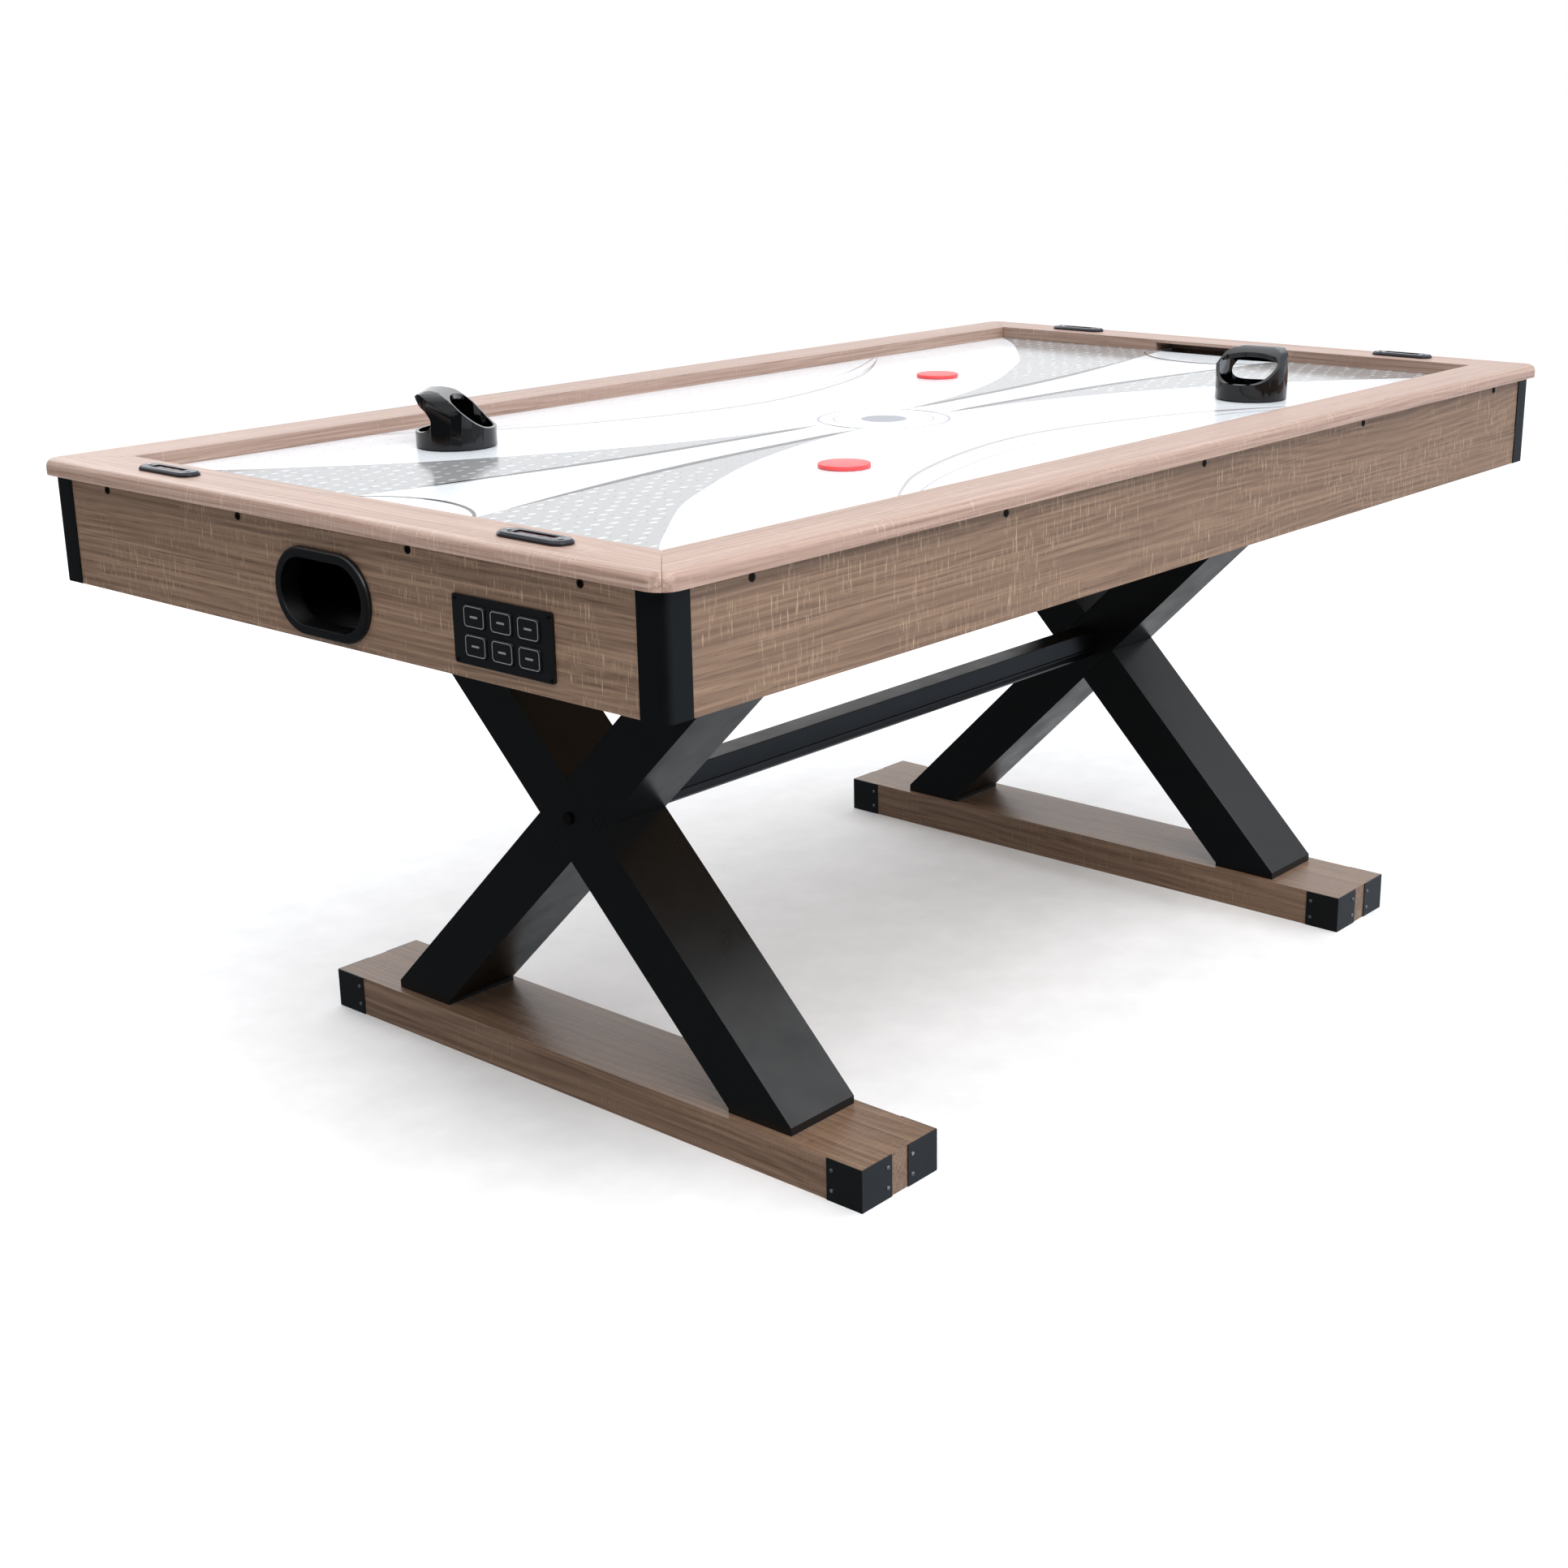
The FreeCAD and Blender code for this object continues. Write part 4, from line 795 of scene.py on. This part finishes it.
def roundedOutline(width, height, corner, count=6):
    points = []
    for k, (sy, sz) in enumerate(((1, 1), (-1, 1), (-1, -1), (1, -1))):
        for step in range(count + 1):
            angle = math.radians(90 * k + 90 * step / count)
            points.append((sy * (width / 2 - corner) + corner * math.cos(angle),
                           sz * (height / 2 - corner) + corner * math.sin(angle)))
    return points


for number in range(1, 7):
    node = "control_button_%d" % number
    low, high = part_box(node)
    middle = (low + high) / 2
    width = high.y - low.y - 2 * panelPrint["capEdge"] - 2 * panelPrint["inset"]
    height = high.z - low.z - 2 * panelPrint["capEdge"] - 2 * panelPrint["inset"]
    bm = bmesh.new()
    outer = roundedOutline(width, height, panelPrint["corner"])
    inner = roundedOutline(width - 2 * panelPrint["line"], height - 2 * panelPrint["line"],
                           panelPrint["corner"] - panelPrint["line"])
    bar = roundedOutline(panelPrint["barLength"], panelPrint["barHeight"],
                         panelPrint["barHeight"] * panelPrint["barCorner"])
    heart = [(y * panelPrint["barHeart"], z * panelPrint["barHeart"]) for y, z in bar]
    for within, around in ((inner, outer), (heart, bar)):
        ribbon(bm, within, around, -panelPrint["depth"], panelPrint["lift"], closed=True)
    # stand the drawing up on the button's face, which looks towards -X
    stand = Matrix(((0, 0, -1, low.x), (-1, 0, 0, middle.y), (0, 1, 0, middle.z), (0, 0, 0, 1)))
    bm.transform(stand)
    name = "controlButtonPrint%d" % number
    put(meshOf(bm, name, finish["outline"]), name, node, "button_black")
print("control panel printed")


# score windows: four unlit digits on each dark red lens

scorePrint = {"digit": (0.0062, 0.0086), "stroke": 0.0011, "spread": 0.0155,
              "places": (-1.5, -0.5, 0.5, 1.5), "lift": 0.00006, "depth": 0.00005}


def segmentBars(width, height, stroke):
    # seven bars of a digit as (centre u, centre v, length u, length v)
    bars = [(0, side * height / 2, width - stroke, stroke) for side in (-1, 0, 1)]
    bars += [(su * width / 2, sv * height / 4, stroke, height / 2 - stroke)
             for su in (-1, 1) for sv in (-1, 1)]
    return bars


for end in ends:
    for side in sides:
        low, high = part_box("%s_%s_score_display" % (end, side))
        middle = (low + high) / 2
        bm = bmesh.new()
        width, height = scorePrint["digit"]
        for place in scorePrint["places"]:
            for u, v, du, dv in segmentBars(width, height, scorePrint["stroke"]):
                u += place * scorePrint["spread"]
                left = [(v - dv / 2, u - du / 2), (v - dv / 2, u + du / 2)]
                right = [(v + dv / 2, u - du / 2), (v + dv / 2, u + du / 2)]
                ribbon(bm, left, right, -scorePrint["depth"], scorePrint["lift"])
        bm.transform(Matrix.Translation((middle.x, middle.y, high.z)))
        name = end + side.capitalize() + "ScoreDigits"
        put(meshOf(bm, name, finish["segment"]), name, "cabinet", "display_red")
print("score digits laid")


# studio: pale floor, soft light and the camera

studio = {"floorRadius": 12.0, "domeRadius": 12.2, "domeBright": 1.0,
          "horizon": (0.10, 0.11, 0.12), "overhead": (1.70, 1.72, 1.76), "side": (0.60, 0.68, 0.80),
          "beyond": (1.15, 1.17, 1.20),
          "sideWay": (0.55, -0.83, 0.0), "beyondWay": (0.77, 0.63, 0.0), "lookAt": (0.0, 0.0, 0.55),
          "key": ((-1.6, -3.6, 4.8), 3.6, 230.0), "fill": ((3.2, -3.0, 3.2), 3.0, 40.0),
          "back": ((0.5, 4.2, 3.6), 3.2, 60.0)}  # each light: place, size, power


def studioPiece(name, bm, material):
    piece = bpy.data.objects.new(name, meshOf(bm, name, material))
    bpy.context.scene.collection.objects.link(piece)
    return piece


bm = bmesh.new()
bmesh.ops.create_circle(bm, cap_ends=True, segments=96, radius=studio["floorRadius"])
paleFloor = moulded("paleFloor", (246, 246, 246), 0.7, grainScale=3.0, relief=0.0)
floor = studioPiece("studioFloor", bm, paleFloor)
floor.visible_glossy = False

# a plain white dome that only the camera sees, so that the floor's edge doesn't show
domeMaterial = bpy.data.materials.new("studioWhite")
domeMaterial.use_nodes = True
domeTree = domeMaterial.node_tree
white = addNode(domeTree, "ShaderNodeEmission", {"Strength": studio["domeBright"]})
domeTree.links.new(white.outputs[0], domeTree.nodes["Material Output"].inputs["Surface"])
bm = bmesh.new()
bmesh.ops.create_uvsphere(bm, u_segments=48, v_segments=24, radius=studio["domeRadius"])
dome = studioPiece("studioDome", bm, domeMaterial)
dome.visible_diffuse = dome.visible_glossy = dome.visible_transmission = dome.visible_shadow = False

# soft sky: bright overhead, pale on one side and beyond the table, dim elsewhere near the horizon
world = bpy.data.worlds.new("studioWorld")
bpy.context.scene.world = world
world.use_nodes = True
sky = world.node_tree
direction = addNode(sky, "ShaderNodeTexCoord").outputs["Generated"]


def toward(way, start, full):
    facing = addNode(sky, "ShaderNodeVectorMath", {0: direction, 1: way}, operation="DOT_PRODUCT")
    return span(sky, facing.outputs["Value"], start, full)


skyLight = mixColour(sky, toward(studio["sideWay"], 0.35, 0.95), (*studio["horizon"], 1.0),
                     (*studio["side"], 1.0))
skyLight = mixColour(sky, toward(studio["beyondWay"], 0.55, 0.95), skyLight,
                     (*studio["beyond"], 1.0))
skyLight = mixColour(sky, toward((0.0, 0.0, 1.0), 0.30, 0.85), skyLight,
                     (*studio["overhead"], 1.0))
sky.links.new(skyLight, sky.nodes["Background"].inputs["Color"])

target = Vector(studio["lookAt"])
for name in ("key", "fill", "back"):
    place, size, power = studio[name]
    light = bpy.data.lights.new(name + "Light", "AREA")
    light.shape = "DISK"
    light.size = size
    light.energy = power
    lamp = bpy.data.objects.new(name + "Light", light)
    lamp.location = place
    lamp.rotation_euler = (target - Vector(place)).to_track_quat("-Z", "Y").to_euler()
    bpy.context.scene.collection.objects.link(lamp)

view = {"place": (-2.256, -1.869, 1.195), "right": (0.6342, -0.7731, -0.0054),
        "forward": (0.7372, 0.6068, -0.2971), "lens": 51.07, "shift": (-0.0694, -0.0139)}
cameraData = bpy.data.cameras.new("camera")
cameraData.lens = view["lens"]
cameraData.sensor_width = 36.0
cameraData.shift_x, cameraData.shift_y = view["shift"]
camera = bpy.data.objects.new("camera", cameraData)
forward = Vector(view["forward"]).normalized()
right = Vector(view["right"])
right = (right - forward * right.dot(forward)).normalized()
up = right.cross(forward)
camera.matrix_world = Matrix((
    (right.x, up.x, -forward.x, view["place"][0]),
    (right.y, up.y, -forward.y, view["place"][1]),
    (right.z, up.z, -forward.z, view["place"][2]),
    (0, 0, 0, 1)))
bpy.context.scene.collection.objects.link(camera)
bpy.context.scene.camera = camera
bpy.context.scene.view_settings.view_transform = "Standard"
print("studio ready")
